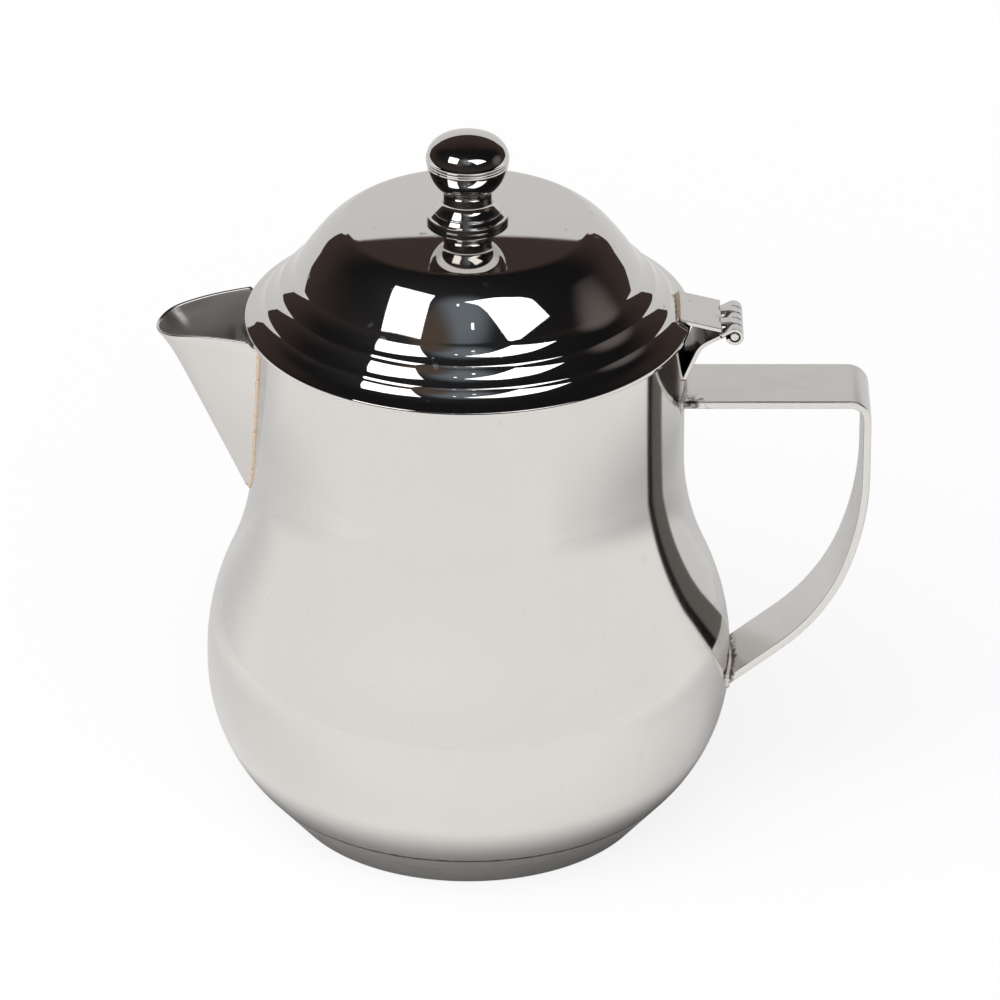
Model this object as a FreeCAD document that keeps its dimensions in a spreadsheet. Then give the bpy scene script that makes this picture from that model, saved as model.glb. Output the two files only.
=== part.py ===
"""A hinged-lid steel teapot: pot, welded-on spout and strip handle, and a lid with a turned knob.

Millimetres. The pot's axis is +Z, the table is z = 0, the spout points to -X and the handle to +X.
Every sub-part is a body whose sketches and features are tied to the size sheet.
"""
import FreeCAD, Part
import math
import os

import Sketcher

# The driving dimensions. Lengths are in millimetres and angles in degrees.
SIZES = {
    # Pot: belly, waist and neck of the drawn shell, measured on its outside
    "wall": 0.8,
    "belly_radius": 60.6,
    "belly_height": 39.5,
    "belly_band": 2.1,
    "shoulder_arc": 54.2,
    "waist_arc": 70,
    "neck_radius": 49.45,
    "rim_height": 124.7,
    # Base cup: the satin cone under the seam, and the ring that the pot stands on
    "seam_radius": 50.6,
    "seam_height": 10.8,
    "foot_radius": 41.4,
    "foot_ring_width": 5,
    "base_recess": 2.5,
    # Room left for the weld between two joined pieces
    "weld_gap": 0.05,
    # Strainer punched through the neck behind the spout
    "strainer_hole_radius": 1.6,
    "strainer_pitch": 5,
    "strainer_below_rim": 9.7,
    # Spout: a folded trough with a rounded keel, wider and leaner towards the lip
    "spout_wall": 0.8,
    "spout_reach": 21.35,
    "spout_tip_below_rim": 2.5,
    "spout_lip_drop": 1.7,
    "spout_length": 40.3,
    "spout_lean": 25.3,
    "spout_nose_top": 9,
    "spout_nose_foot": 1.8,
    "spout_flare_top": 21,
    "spout_flare_foot": 46,
    # Handle: one flat strip, bent
    "handle_width": 19.6,
    "handle_thickness": 1.8,
    "handle_below_rim": 17,
    "handle_reach": 42.4,
    "handle_bend": 5,
    "handle_drop": 13.7,
    "handle_arc_high": 70,
    "handle_turn_high": 20,
    "handle_arc_low": 48,
    "handle_turn_low": 52,
    # Hinge: two rolled leaves on one pin
    "hinge_reach": 11.05,
    "hinge_below_rim": 1.7,
    "hinge_strip": 1,
    "barrel_radius": 2.05,
    "barrel_length": 15,
    "pin_radius": 1,
    "pin_fit": 0.02,
    "running_fit": 0.06,
    "knuckle_gap": 0.3,
    "notch_reach": 3.2,
    "lid_leaf_slope": 14,
    "lid_leaf_rise": 1.3,
    "lid_leaf_length": 13.4,
    "body_leaf_slope": 28,
    "body_leaf_run": 8.2,
    "body_leaf_foot_slope": 67,
    # Lid: sloped ledge of the brim, hollow rings, dome, rounded crest and an almost flat crown
    "lid_wall": 0.8,
    "brim_overhang": 1.35,
    "brim_lap": 0.3,
    "brim_edge": 1.1,
    "brim_ledge": 1.9,
    "brim_slope": 27,
    "ring_band": 11.7,
    "ring_rise": 12.6,
    "ring_width": 3.5,
    "ring_drop": 3.85,
    "ring_arc": 10,
    "dome_shoulder_arc": 18.6,
    "dome_shoulder_slope": 50,
    "crest_radius": 27.2,
    "crest_rise": 24.3,
    "crest_arc": 3.5,
    "crest_outer_slope": 30,
    "crown_slope": 3,
    "seat_radius": 9.5,
    # Collar: the ring under the lid that drops into the neck
    "collar_wall": 0.7,
    "collar_clearance": 0.75,
    "collar_depth": 7,
    # Knob: turned radii, and heights above its seat
    "knob_foot_radius": 9.35,
    "knob_foot_height": 1.25,
    "knob_foot_step": 0.95,
    "knob_waist_radius": 5.6,
    "knob_waist_low": 4.1,
    "knob_waist_high": 7.25,
    "knob_cup_radius": 9.25,
    "knob_cup_height": 14.05,
    "knob_cup_arc": 9.3,
    "knob_bead_height": 1.45,
    "knob_bead_arc": 1.8,
    "knob_ball_radius": 9.45,
    "knob_ball_height": 14.7,
    "knob_ball_arc": 5.2,
    "knob_cap_angle": 21.3,
    # Fastening of the knob, from inside the lid
    "screw_radius": 2,
    "screw_depth": 9,
    "screw_fit": 0.05,
    "screw_hole_clearance": 0.3,
    "screw_head_radius": 3.9,
    "screw_head_height": 2.4,
    "washer_radius": 6,
    "washer_thickness": 0.8,
}

# Counts that shape the object
STRAINER_ROWS = 5
RINGS = 2
KNUCKLES = 5
# Heights of the spout's sections, as shares of its length, from the foot to above the lip
SPOUT_LEVELS = (0.0, 0.08, 0.3, 0.6, 1.1)

doc = FreeCAD.newDocument("teapot")


class Size:
    """A number of the model, with the formula that ties it to the size sheet."""

    def __init__(self, value, text):
        self.value = value
        self.text = text

    def __add__(self, other):
        other = as_size(other)
        return Size(self.value + other.value, f"({self.text} + {other.text})")

    def __sub__(self, other):
        other = as_size(other)
        return Size(self.value - other.value, f"({self.text} - {other.text})")

    def __mul__(self, other):
        other = as_size(other)
        return Size(self.value * other.value, f"({self.text} * {other.text})")

    def __truediv__(self, other):
        other = as_size(other)
        return Size(self.value / other.value, f"({self.text} / {other.text})")

    def __neg__(self):
        return Size(-self.value, f"(0 - {self.text})")

    def __rmul__(self, other):
        return as_size(other) * self


def as_size(number):
    if isinstance(number, Size):
        return number
    return Size(float(number), repr(float(number)))


def sine(angle):
    return Size(math.sin(math.radians(angle.value)), f"sin({angle.text})")


def cosine(angle):
    return Size(math.cos(math.radians(angle.value)), f"cos({angle.text})")


def root(square):
    return Size(math.sqrt(square.value), f"sqrt({square.text})")


def fill_size_sheet():
    """Write the driving dimensions into the sheet and hand them back as sizes."""
    sheet = doc.addObject("Spreadsheet::Sheet", "Sizes")
    for row, (alias, number) in enumerate(SIZES.items(), start=1):
        sheet.set(f"A{row}", alias)
        sheet.set(f"B{row}", str(number))
        sheet.setAlias(f"B{row}", alias)
    doc.recompute()
    return {alias: Size(float(sheet.get(alias)), f"Sizes.{alias}") for alias in SIZES}


size = fill_size_sheet()
worked = doc.addObject("Spreadsheet::Sheet", "Worked")
worked_names = []


def work_out(alias, formula):
    """Keep a worked-out size in its own cell, so that later formulas stay short."""
    worked_names.append(alias)
    cell = f"B{len(worked_names)}"
    worked.set(cell, f"={formula.text}")
    worked.setAlias(cell, alias)
    return Size(formula.value, f"Worked.{alias}")


def work_out_point(alias, x, y):
    return work_out(alias + "_x", x), work_out(alias + "_y", y)


def arc_radius(start, end, normal):
    """The radius of the arc that leaves start square to normal and passes through end."""
    across = end[0] - start[0]
    up = end[1] - start[1]
    return (across * across + up * up) / (2 * (across * normal[0] + up * normal[1]))


OTHER_SIDE = {"left": "right", "right": "left"}


def turning(side, radius):
    """An edge that is an arc. A radius below zero turns to the other side."""
    return (side, radius) if radius.value > 0 else (OTHER_SIDE[side], -radius)


def left(radius):
    """An edge that is an arc turning left."""
    return turning("left", radius)


def right(radius):
    """An edge that is an arc turning right."""
    return turning("right", radius)


def arc_edge(start, end, side, radius):
    """The arc of under half a circle from start to end, and which of its ends is the start."""
    middle = (start + end) * 0.5
    chord = end - start
    half = chord.Length / 2
    normal = FreeCAD.Vector(-chord.y, chord.x, 0).normalize()
    if side == "right":
        normal = -normal
    centre = middle + normal * math.sqrt(radius * radius - half * half)
    circle = Part.Circle(centre, FreeCAD.Vector(0, 0, 1), radius)
    first, last = (start, end) if side == "left" else (end, start)
    begin = math.atan2(first.y - centre.y, first.x - centre.x)
    finish = math.atan2(last.y - centre.y, last.x - centre.x)
    if finish < begin:
        finish += 2 * math.pi
    return Part.ArcOfCircle(circle, begin, finish), (1, 2) if side == "left" else (2, 1)


def dimension(sketch, constraint, formula):
    index = sketch.addConstraint(constraint)
    sketch.setExpression(f"Constraints[{index}]", formula.text)


def place_point(sketch, edge, end, x, y):
    """Fix one end of an edge, or a centre, at x and y from the sketch's origin."""
    for kind, coordinate, axis in (("DistanceX", x, -2), ("DistanceY", y, -1)):
        coordinate = as_size(coordinate)
        if coordinate.value == 0:
            sketch.addConstraint(Sketcher.Constraint("PointOnObject", edge, end, axis))
        else:
            rule = Sketcher.Constraint(kind, -1, 1, edge, end, coordinate.value)
            dimension(sketch, rule, coordinate)


def new_body(label):
    body = doc.addObject("PartDesign::Body", label)
    body.Label = label
    body.Placement = FreeCAD.Placement()
    return body


def new_sketch(body, name, role, height=None):
    """A sketch on one of the body's own planes, raised by height along the plane's normal."""
    sketch = body.newObject("Sketcher::SketchObject", name)
    plane = next(item for item in body.Origin.OriginFeatures if item.Role == role)
    sketch.AttachmentSupport = (plane, [""])
    sketch.MapMode = "FlatFace"
    if height is not None:
        sketch.setExpression("AttachmentOffset.Base.z", height.text)
    return sketch


def draw_outline(sketch, corners):
    """A closed outline. A corner is x, y and, where the edge that leaves it is an arc, that arc."""
    points = [FreeCAD.Vector(as_size(c[0]).value, as_size(c[1]).value, 0) for c in corners]
    first_edge = sketch.GeometryCount
    ends = []
    for index, corner in enumerate(corners):
        start = points[index]
        end = points[(index + 1) % len(points)]
        if len(corner) == 3:
            side, radius = corner[2]
            edge, order = arc_edge(start, end, side, radius.value)
        else:
            edge, order = Part.LineSegment(start, end), (1, 2)
        sketch.addGeometry(edge, False)
        ends.append(order)
    for index, corner in enumerate(corners):
        edge = first_edge + index
        before = (index - 1) % len(corners)
        joint = (first_edge + before, ends[before][1], edge, ends[index][0])
        sketch.addConstraint(Sketcher.Constraint("Coincident", *joint))
        place_point(sketch, edge, ends[index][0], corner[0], corner[1])
        if len(corner) == 3:
            radius = corner[2][1]
            dimension(sketch, Sketcher.Constraint("Radius", edge, radius.value), radius)


def draw_circle(sketch, x, y, radius):
    middle = FreeCAD.Vector(as_size(x).value, as_size(y).value, 0)
    circle = Part.Circle(middle, FreeCAD.Vector(0, 0, 1), radius.value)
    edge = sketch.addGeometry(circle, False)
    place_point(sketch, edge, 3, x, y)
    dimension(sketch, Sketcher.Constraint("Radius", edge, radius.value), radius)


def turn(body, name, corners, kind="Revolution"):
    """Turn an outline in the X-Z plane about the pot's axis, to add or to cut away."""
    sketch = new_sketch(body, name + "_outline", "XZ_Plane")
    draw_outline(sketch, corners)
    feature = body.newObject("PartDesign::" + kind, name)
    feature.Profile = sketch
    feature.ReferenceAxis = (sketch, ["V_Axis"])
    feature.Angle = 360
    return feature


def pad(body, name, sketch, length):
    """Thicken a sketch to both sides of its plane."""
    feature = body.newObject("PartDesign::Pad", name)
    feature.Profile = sketch
    feature.SideType = "Symmetric"
    feature.setExpression("Length", length.text)
    return feature


def cut_through(body, name, sketch):
    """Cut a sketch through everything on both sides of its plane."""
    feature = body.newObject("PartDesign::Pocket", name)
    feature.Profile = sketch
    feature.SideType = "Symmetric"
    feature.Type = "ThroughAll"
    return feature


# Places that several pieces share

brim_radius = size["neck_radius"] + size["brim_overhang"]
brim_height = size["rim_height"] - size["brim_lap"]
hinge_x = work_out("hinge_x", size["neck_radius"] + size["hinge_reach"])
hinge_z = work_out("hinge_z", size["rim_height"] - size["hinge_below_rim"])
hole_radius = size["screw_radius"] + size["screw_hole_clearance"]

# The pot's outside line: haunch arc up to the belly's band, shoulder arc, hollow waist arc, neck
shoulder_x = work_out("shoulder_x", size["belly_radius"] - size["shoulder_arc"])
haunch_y = work_out("haunch_y", size["belly_height"] - size["belly_band"])
haunch_top = (size["belly_radius"], haunch_y)
seam_point = (size["seam_radius"], size["seam_height"])
haunch_arc = work_out("haunch_arc", arc_radius(haunch_top, seam_point, (-1, 0)))
haunch_x = work_out("haunch_x", size["belly_radius"] - haunch_arc)
haunch_down = work_out("haunch_down", haunch_y - size["seam_height"])
waist_x = work_out("waist_x", size["neck_radius"] + size["waist_arc"])
waist_span = work_out("waist_span", size["shoulder_arc"] + size["waist_arc"])
waist_across = (waist_x - shoulder_x) * (waist_x - shoulder_x)
waist_climb = work_out("waist_climb", root(waist_span * waist_span - waist_across))
waist_y = work_out("waist_y", size["belly_height"] + waist_climb)


def pot_line(offset):
    """Corners of the pot's outside line from the seam up to the rim, moved outwards by offset."""
    offset = as_size(offset)
    haunch = haunch_arc + offset
    shoulder = size["shoulder_arc"] + offset
    seam_x = haunch_x + root(haunch * haunch - haunch_down * haunch_down)
    return [
        (seam_x, size["seam_height"], left(haunch)),
        (size["belly_radius"] + offset, haunch_y),
        (size["belly_radius"] + offset, size["belly_height"], left(shoulder)),
        (
            shoulder_x + (waist_x - shoulder_x) * shoulder / waist_span,
            size["belly_height"] + waist_climb * shoulder / waist_span,
            right(size["waist_arc"] - offset),
        ),
        (size["neck_radius"] + offset, waist_y),
        (size["neck_radius"] + offset, size["rim_height"]),
    ]


def walk_back(corners):
    """The same line walked from its far end, with each arc turning the other way."""
    back = []
    for index in range(len(corners) - 1, -1, -1):
        x, y = corners[index][:2]
        arriving = corners[index - 1] if index else ()
        if len(arriving) == 3:
            side, radius = arriving[2]
            back.append((x, y, (OTHER_SIDE[side], radius)))
        else:
            back.append((x, y))
    return back


def cope(body, name):
    """Cut away what lies inside the pot's outside line, so that the piece meets the pot's skin."""
    corners = [(0, size["seam_height"])] + pot_line(size["weld_gap"]) + [(0, size["rim_height"])]
    turn(body, name, corners, kind="Groove")


def make_body_shell():
    body = new_body("body_shell")
    turn(body, "pot_wall", pot_line(0) + walk_back(pot_line(-size["wall"])))
    sketch = new_sketch(body, "strainer_holes", "YZ_Plane")
    for row in range(STRAINER_ROWS):
        below_rim = size["strainer_below_rim"] + (STRAINER_ROWS - 1 - row) * size["strainer_pitch"]
        for place in range(row + 1):
            across = (place - row / 2) * size["strainer_pitch"]
            draw_circle(sketch, across, size["rim_height"] - below_rim, size["strainer_hole_radius"])
    strainer = body.newObject("PartDesign::Pocket", "strainer")
    strainer.Profile = sketch
    strainer.Type = "Length"
    strainer.setExpression("Length", (2 * size["neck_radius"]).text)
    return body


def make_base_cup():
    body = new_body("base_cup")
    spread = (size["seam_radius"] - size["foot_radius"]) / size["seam_height"]
    level_wall = size["wall"] * root(spread * spread + as_size(1))
    ring_radius = size["foot_radius"] - size["foot_ring_width"]
    panel_radius = ring_radius - size["base_recess"]
    panel_top = size["base_recess"] + size["wall"]
    corners = [
        (0, size["base_recess"]),
        (panel_radius, size["base_recess"]),
        (ring_radius, 0),
        (size["foot_radius"], 0),
        (size["seam_radius"], size["seam_height"]),
        (size["seam_radius"] - level_wall, size["seam_height"]),
        (size["foot_radius"] - level_wall + spread * size["wall"], size["wall"]),
        (ring_radius, size["wall"]),
        (panel_radius, panel_top),
        (0, panel_top),
    ]
    turn(body, "drawn_cup", corners)
    return body


def spout_section(body, name, share, inset):
    """One level outline of the spout: a rounded nose and two flared sides that run into the pot."""
    rise = share * size["spout_length"]
    foot_height = size["rim_height"] - size["spout_tip_below_rim"] - size["spout_length"]
    nose = size["spout_nose_foot"] + share * (size["spout_nose_top"] - size["spout_nose_foot"])
    flare = size["spout_flare_foot"] + share * (size["spout_flare_top"] - size["spout_flare_foot"])
    lean = sine(size["spout_lean"]) / cosine(size["spout_lean"])
    reach = size["neck_radius"] + size["spout_reach"] - (size["spout_length"] - rise) * lean
    radius = nose - inset
    turn_x = nose - reach - radius * sine(flare)
    turn_y = radius * cosine(flare)
    root_x = -size["neck_radius"] * cosine(size["spout_flare_foot"])
    root_y = turn_y + (root_x - turn_x) * sine(flare) / cosine(flare)
    sketch = new_sketch(body, name, "XY_Plane", foot_height + rise)
    draw_outline(
        sketch,
        [
            (root_x, root_y),
            (turn_x, turn_y, left(radius)),
            (turn_x, -turn_y),
            (root_x, -root_y),
        ],
    )
    return sketch


def loft(body, name, kind, levels, inset):
    sections = [
        spout_section(body, f"{name}_section_{index}", share, inset)
        for index, share in enumerate(levels)
    ]
    feature = body.newObject("PartDesign::" + kind, name)
    feature.Profile = sections[0]
    feature.Sections = sections[1:]
    feature.Ruled = True
    return feature


def make_spout():
    body = new_body("spout")
    loft(body, "trough", "AdditiveLoft", SPOUT_LEVELS, as_size(0))
    loft(body, "channel", "SubtractiveLoft", SPOUT_LEVELS[1:], size["spout_wall"])
    cope(body, "pot_side")
    tip_height = size["rim_height"] - size["spout_tip_below_rim"]
    lip_height = tip_height + size["spout_lip_drop"]
    tip_x = -(size["neck_radius"] + size["spout_reach"])
    above = size["rim_height"] + size["spout_length"]
    sketch = new_sketch(body, "above_the_lip", "XZ_Plane")
    corners = [
        (-size["neck_radius"], lip_height),
        (tip_x, tip_height),
        (tip_x - size["spout_reach"], tip_height),
        (tip_x - size["spout_reach"], above),
        (0, above),
        (0, lip_height),
    ]
    draw_outline(sketch, corners)
    cut_through(body, "lip", sketch)
    return body


def make_handle():
    body = new_body("handle")
    thick = size["handle_thickness"]
    top = size["rim_height"] - size["handle_below_rim"]
    reach = size["neck_radius"] + size["handle_reach"]
    bend = size["handle_bend"]
    high_arc = size["handle_arc_high"]
    low_arc = size["handle_arc_low"]
    turn_start = work_out("handle_turn_start", top - bend - size["handle_drop"])
    high_way = (cosine(size["handle_turn_high"]), -sine(size["handle_turn_high"]))
    low_way = (cosine(size["handle_turn_low"]), -sine(size["handle_turn_low"]))
    high_x = work_out("handle_high_x", reach - high_arc)
    low_x = work_out("handle_low_x", high_x + (high_arc - low_arc) * high_way[0])
    low_y = work_out("handle_low_y", turn_start + (high_arc - low_arc) * high_way[1])
    tail_run = low_x + low_arc * low_way[0] - size["seam_radius"]
    tail_x = work_out("handle_tail_x", low_x - tail_run)
    tail_y = work_out("handle_tail_y", low_y + tail_run * low_way[0] / low_way[1])

    def face(depth):
        """Corners of the strip's face, at a depth under its outer face, from the neck to the tail."""
        return [
            (size["neck_radius"] - bend, top - depth),
            (reach - bend, top - depth, right(bend - depth)),
            (reach - depth, top - bend),
            (reach - depth, turn_start, right(high_arc - depth)),
            (
                high_x + (high_arc - depth) * high_way[0],
                turn_start + (high_arc - depth) * high_way[1],
                right(low_arc - depth),
            ),
            (low_x + (low_arc - depth) * low_way[0], low_y + (low_arc - depth) * low_way[1]),
            (tail_x + (low_arc - depth) * low_way[0], tail_y + (low_arc - depth) * low_way[1]),
        ]

    sketch = new_sketch(body, "strip_edge", "XZ_Plane")
    draw_outline(sketch, face(as_size(0)) + walk_back(face(thick)))
    pad(body, "strip", sketch, size["handle_width"])
    cope(body, "welded_ends")
    return body


def draw_leaf(sketch, way, normal, bore, rise, far_end):
    """A strip rolled into a barrel about the pin: the strip leaves the barrel along way, on the
    side of normal, with its upper face at a rise over the pin's middle. far_end holds the corners
    at the strip's other end, from its upper face."""
    radius = size["barrel_radius"]
    round_on = (left(radius),)

    def on_barrel(depth):
        run = root(radius * radius - depth * depth)
        return hinge_x + depth * normal[0] + run * way[0], hinge_z + depth * normal[1] + run * way[1]

    top = (hinge_x + radius * normal[0], hinge_z + radius * normal[1])
    back = (hinge_x - radius * way[0], hinge_z - radius * way[1])
    lower = (hinge_x - radius * normal[0], hinge_z - radius * normal[1])
    corners = far_end + [on_barrel(rise - size["hinge_strip"]) + round_on]
    corners += [lower + round_on, back + round_on]
    corners += [top + round_on, on_barrel(rise)] if rise.value < radius.value else [top]
    draw_outline(sketch, corners)
    draw_circle(sketch, hinge_x, hinge_z, bore)


def cut_knuckles(body, zones):
    """Clear the barrel where the other leaf has its knuckles. Zones count along the pin."""
    pitch = size["barrel_length"] / KNUCKLES
    gap = size["knuckle_gap"] / 2
    low_x = hinge_x - size["notch_reach"]
    high_x = hinge_x + size["notch_reach"]
    sketch = new_sketch(body, "knuckle_notches", "XY_Plane")
    for zone in zones:
        low_y = (zone - KNUCKLES / 2) * pitch - gap
        high_y = (zone + 1 - KNUCKLES / 2) * pitch + gap
        draw_outline(sketch, [(low_x, low_y), (high_x, low_y), (high_x, high_y), (low_x, high_y)])
    cut_through(body, "notches", sketch)


def make_hinge_lid_leaf():
    body = new_body("hinge_lid_leaf")
    slope = size["lid_leaf_slope"]
    way = (-cosine(slope), sine(slope))
    normal = (sine(slope), cosine(slope))
    length = size["lid_leaf_length"]
    upper = size["lid_leaf_rise"]
    lower = upper - size["hinge_strip"]
    far_end = [
        (hinge_x + depth * normal[0] + length * way[0], hinge_z + depth * normal[1] + length * way[1])
        for depth in (upper, lower)
    ]
    sketch = new_sketch(body, "leaf_edge", "XZ_Plane")
    draw_leaf(sketch, way, normal, size["pin_radius"] + size["running_fit"], upper, far_end)
    pad(body, "leaf", sketch, size["barrel_length"])
    cut_knuckles(body, range(0, KNUCKLES, 2))
    gap = size["weld_gap"]
    ledge_end = brim_cove(ledge_point, -gap)
    cove_end = brim_cove(ring_edge(RINGS), -gap)
    seat = [
        (0, brim_height),
        (brim_radius + gap, brim_height),
        (brim_radius + gap, ledge_edge + gap),
        ledge_end + (right(brim_arc - gap),),
        cove_end,
        (0, cove_end[1]),
    ]
    turn(body, "brim_seat", seat, kind="Groove")
    return body


def make_hinge_body_leaf():
    body = new_body("hinge_body_leaf")
    slope = size["body_leaf_slope"]
    steep = size["body_leaf_foot_slope"]
    way = (-cosine(slope), -sine(slope))
    normal = (-sine(slope), cosine(slope))
    foot_way = (-cosine(steep), -sine(steep))
    foot_normal = (-sine(steep), cosine(steep))
    mitre = work_out("leaf_mitre", normal[0] * foot_normal[0] + normal[1] * foot_normal[1] + 1)
    strip = size["hinge_strip"]
    run = size["body_leaf_run"]
    upper = size["barrel_radius"]
    bend_x = work_out("leaf_bend_x", hinge_x + upper * normal[0] + run * way[0])
    bend_y = work_out("leaf_bend_y", hinge_z + upper * normal[1] + run * way[1])
    under_x = bend_x - strip * (normal[0] + foot_normal[0]) / mitre
    under_y = bend_y - strip * (normal[1] + foot_normal[1]) / mitre
    half_width = size["barrel_length"] / 2
    skin_x = root(size["neck_radius"] * size["neck_radius"] - half_width * half_width)
    foot_x = work_out("leaf_foot_x", skin_x - 2 * strip)
    foot_y = work_out("leaf_foot_y", bend_y + (foot_x - bend_x) * foot_way[1] / foot_way[0])
    far_end = [
        (bend_x, bend_y),
        (foot_x, foot_y),
        (foot_x - strip * foot_normal[0], foot_y - strip * foot_normal[1]),
        (under_x, under_y),
    ]
    sketch = new_sketch(body, "leaf_edge", "XZ_Plane")
    draw_leaf(sketch, way, normal, size["pin_radius"] + size["pin_fit"], upper, far_end)
    pad(body, "leaf", sketch, size["barrel_length"])
    cut_knuckles(body, range(1, KNUCKLES, 2))
    cope(body, "neck_seat")
    return body


def make_hinge_pin():
    body = new_body("hinge_pin")
    sketch = new_sketch(body, "pin_end", "XZ_Plane")
    draw_circle(sketch, hinge_x, hinge_z, size["pin_radius"])
    pad(body, "pin", sketch, size["barrel_length"])
    return body


# The lid's upper line, from the knob's seat out to the brim

dome_foot = work_out_point(
    "dome_foot", brim_radius - size["ring_band"], brim_height + size["ring_rise"]
)
crest_y = work_out("crest_y", brim_height + size["crest_rise"] - size["crest_arc"])
outer_normal = (sine(size["crest_outer_slope"]), cosine(size["crest_outer_slope"]))
crown_normal = (sine(size["crown_slope"]), cosine(size["crown_slope"]))
dome_normal = (sine(size["dome_shoulder_slope"]), cosine(size["dome_shoulder_slope"]))
ledge_normal = (sine(size["brim_slope"]), cosine(size["brim_slope"]))
crest_out = (
    size["crest_radius"] + size["crest_arc"] * outer_normal[0],
    crest_y + size["crest_arc"] * outer_normal[1],
)
crest_in = (
    size["crest_radius"] + size["crest_arc"] * crown_normal[0],
    crest_y + size["crest_arc"] * crown_normal[1],
)
shoulder_reach = size["dome_shoulder_arc"]
dome_top = work_out_point(
    "dome_top",
    crest_out[0] + shoulder_reach * (dome_normal[0] - outer_normal[0]),
    crest_out[1] + shoulder_reach * (dome_normal[1] - outer_normal[1]),
)
dome_inward = (-dome_normal[0], -dome_normal[1])
dome_arc = work_out("dome_arc", arc_radius(dome_top, dome_foot, dome_inward))
dome_centre = work_out_point(
    "dome_centre",
    dome_top[0] + dome_arc * dome_inward[0],
    dome_top[1] + dome_arc * dome_inward[1],
)
crown_arc = work_out("crown_arc", crest_in[0] / crown_normal[0])
crown_y = work_out("crown_y", crest_in[1] - crown_arc * crown_normal[1])
seat_climb = root(crown_arc * crown_arc - size["seat_radius"] * size["seat_radius"])
seat_height = work_out("seat_height", crown_y + seat_climb)
# The lid's lower skin, one wall under the dome's foot
under_dome = work_out_point(
    "under_dome",
    dome_centre[0] + (dome_foot[0] - dome_centre[0]) * (dome_arc - size["lid_wall"]) / dome_arc,
    dome_centre[1] + (dome_foot[1] - dome_centre[1]) * (dome_arc - size["lid_wall"]) / dome_arc,
)


def ring_edge(index):
    """The edge below a hollow ring, counted outwards from the dome's foot."""
    return dome_foot[0] + index * size["ring_width"], dome_foot[1] - index * size["ring_drop"]


def under_ring_edge(index):
    """The same edge on the lower skin, one wall square to the line of the rings."""
    width, drop = size["ring_width"], size["ring_drop"]
    share = size["lid_wall"] / root(width * width + drop * drop)
    edge = ring_edge(index)
    return edge[0] - share * drop, edge[1] - share * width


# The brim's cove leaves the ledge smoothly and ends on the last ring's edge
ledge_edge = brim_height + size["brim_edge"]
ledge_climb = size["brim_ledge"] * ledge_normal[0] / ledge_normal[1]
ledge_point = work_out_point("ledge", brim_radius - size["brim_ledge"], ledge_edge + ledge_climb)
brim_arc = work_out("brim_arc", arc_radius(ledge_point, ring_edge(RINGS), ledge_normal))
brim_centre = work_out_point(
    "brim_centre",
    ledge_point[0] + brim_arc * ledge_normal[0],
    ledge_point[1] + brim_arc * ledge_normal[1],
)


def brim_cove(point, depth):
    """A point of the brim's cove, moved by a depth under its face."""
    share = (brim_arc + depth) / brim_arc
    return tuple(c + (p - c) * share for p, c in zip(point, brim_centre))


def under_brim(radius):
    """The height of the collar's seat under the brim's cove, at a radius."""
    reach = brim_arc + size["lid_wall"] + size["weld_gap"]
    across = brim_centre[0] - radius
    return brim_centre[1] - root(reach * reach - across * across)


def make_lid_shell():
    body = new_body("lid_shell")
    wall = size["lid_wall"]
    under_seat = seat_height - wall
    under_crown = crown_arc - wall
    under_climb = under_seat - crown_y
    under_seat_x = root(under_crown * under_crown - under_climb * under_climb)
    corners = [
        (hole_radius, seat_height),
        (size["seat_radius"], seat_height, right(crown_arc)),
        crest_in + (right(size["crest_arc"]),),
        crest_out + (right(shoulder_reach),),
        dome_top + (right(dome_arc),),
    ]
    corners += [ring_edge(index) + (left(size["ring_arc"]),) for index in range(RINGS)]
    corners += [
        ring_edge(RINGS) + (left(brim_arc),),
        ledge_point,
        (brim_radius, ledge_edge),
        (brim_radius, brim_height),
        brim_cove(ledge_point, wall) + (right(brim_arc + wall),),
    ]
    under_ring = right(size["ring_arc"] + wall)
    corners.append(brim_cove(ring_edge(RINGS), wall) + (under_ring,))
    corners += [under_ring_edge(index) + (under_ring,) for index in range(RINGS - 1, 0, -1)]
    corners += [
        under_dome + (left(dome_arc - wall),),
        (
            dome_top[0] - wall * dome_normal[0],
            dome_top[1] - wall * dome_normal[1],
            left(shoulder_reach - wall),
        ),
        (
            crest_out[0] - wall * outer_normal[0],
            crest_out[1] - wall * outer_normal[1],
            left(size["crest_arc"] - wall),
        ),
        (
            crest_in[0] - wall * crown_normal[0],
            crest_in[1] - wall * crown_normal[1],
            left(under_crown),
        ),
        (under_seat_x, under_seat),
        (hole_radius, under_seat),
    ]
    turn(body, "pressed_lid", corners)
    return body


def make_lid_collar():
    body = new_body("lid_collar")
    outer = size["neck_radius"] - size["wall"] - size["collar_clearance"]
    inner = outer - size["collar_wall"]
    bottom = size["rim_height"] - size["collar_depth"]
    corners = [
        (inner, bottom),
        (outer, bottom),
        (outer, under_brim(outer)),
        (inner, under_brim(inner)),
    ]
    turn(body, "skirt", corners)
    return body


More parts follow.
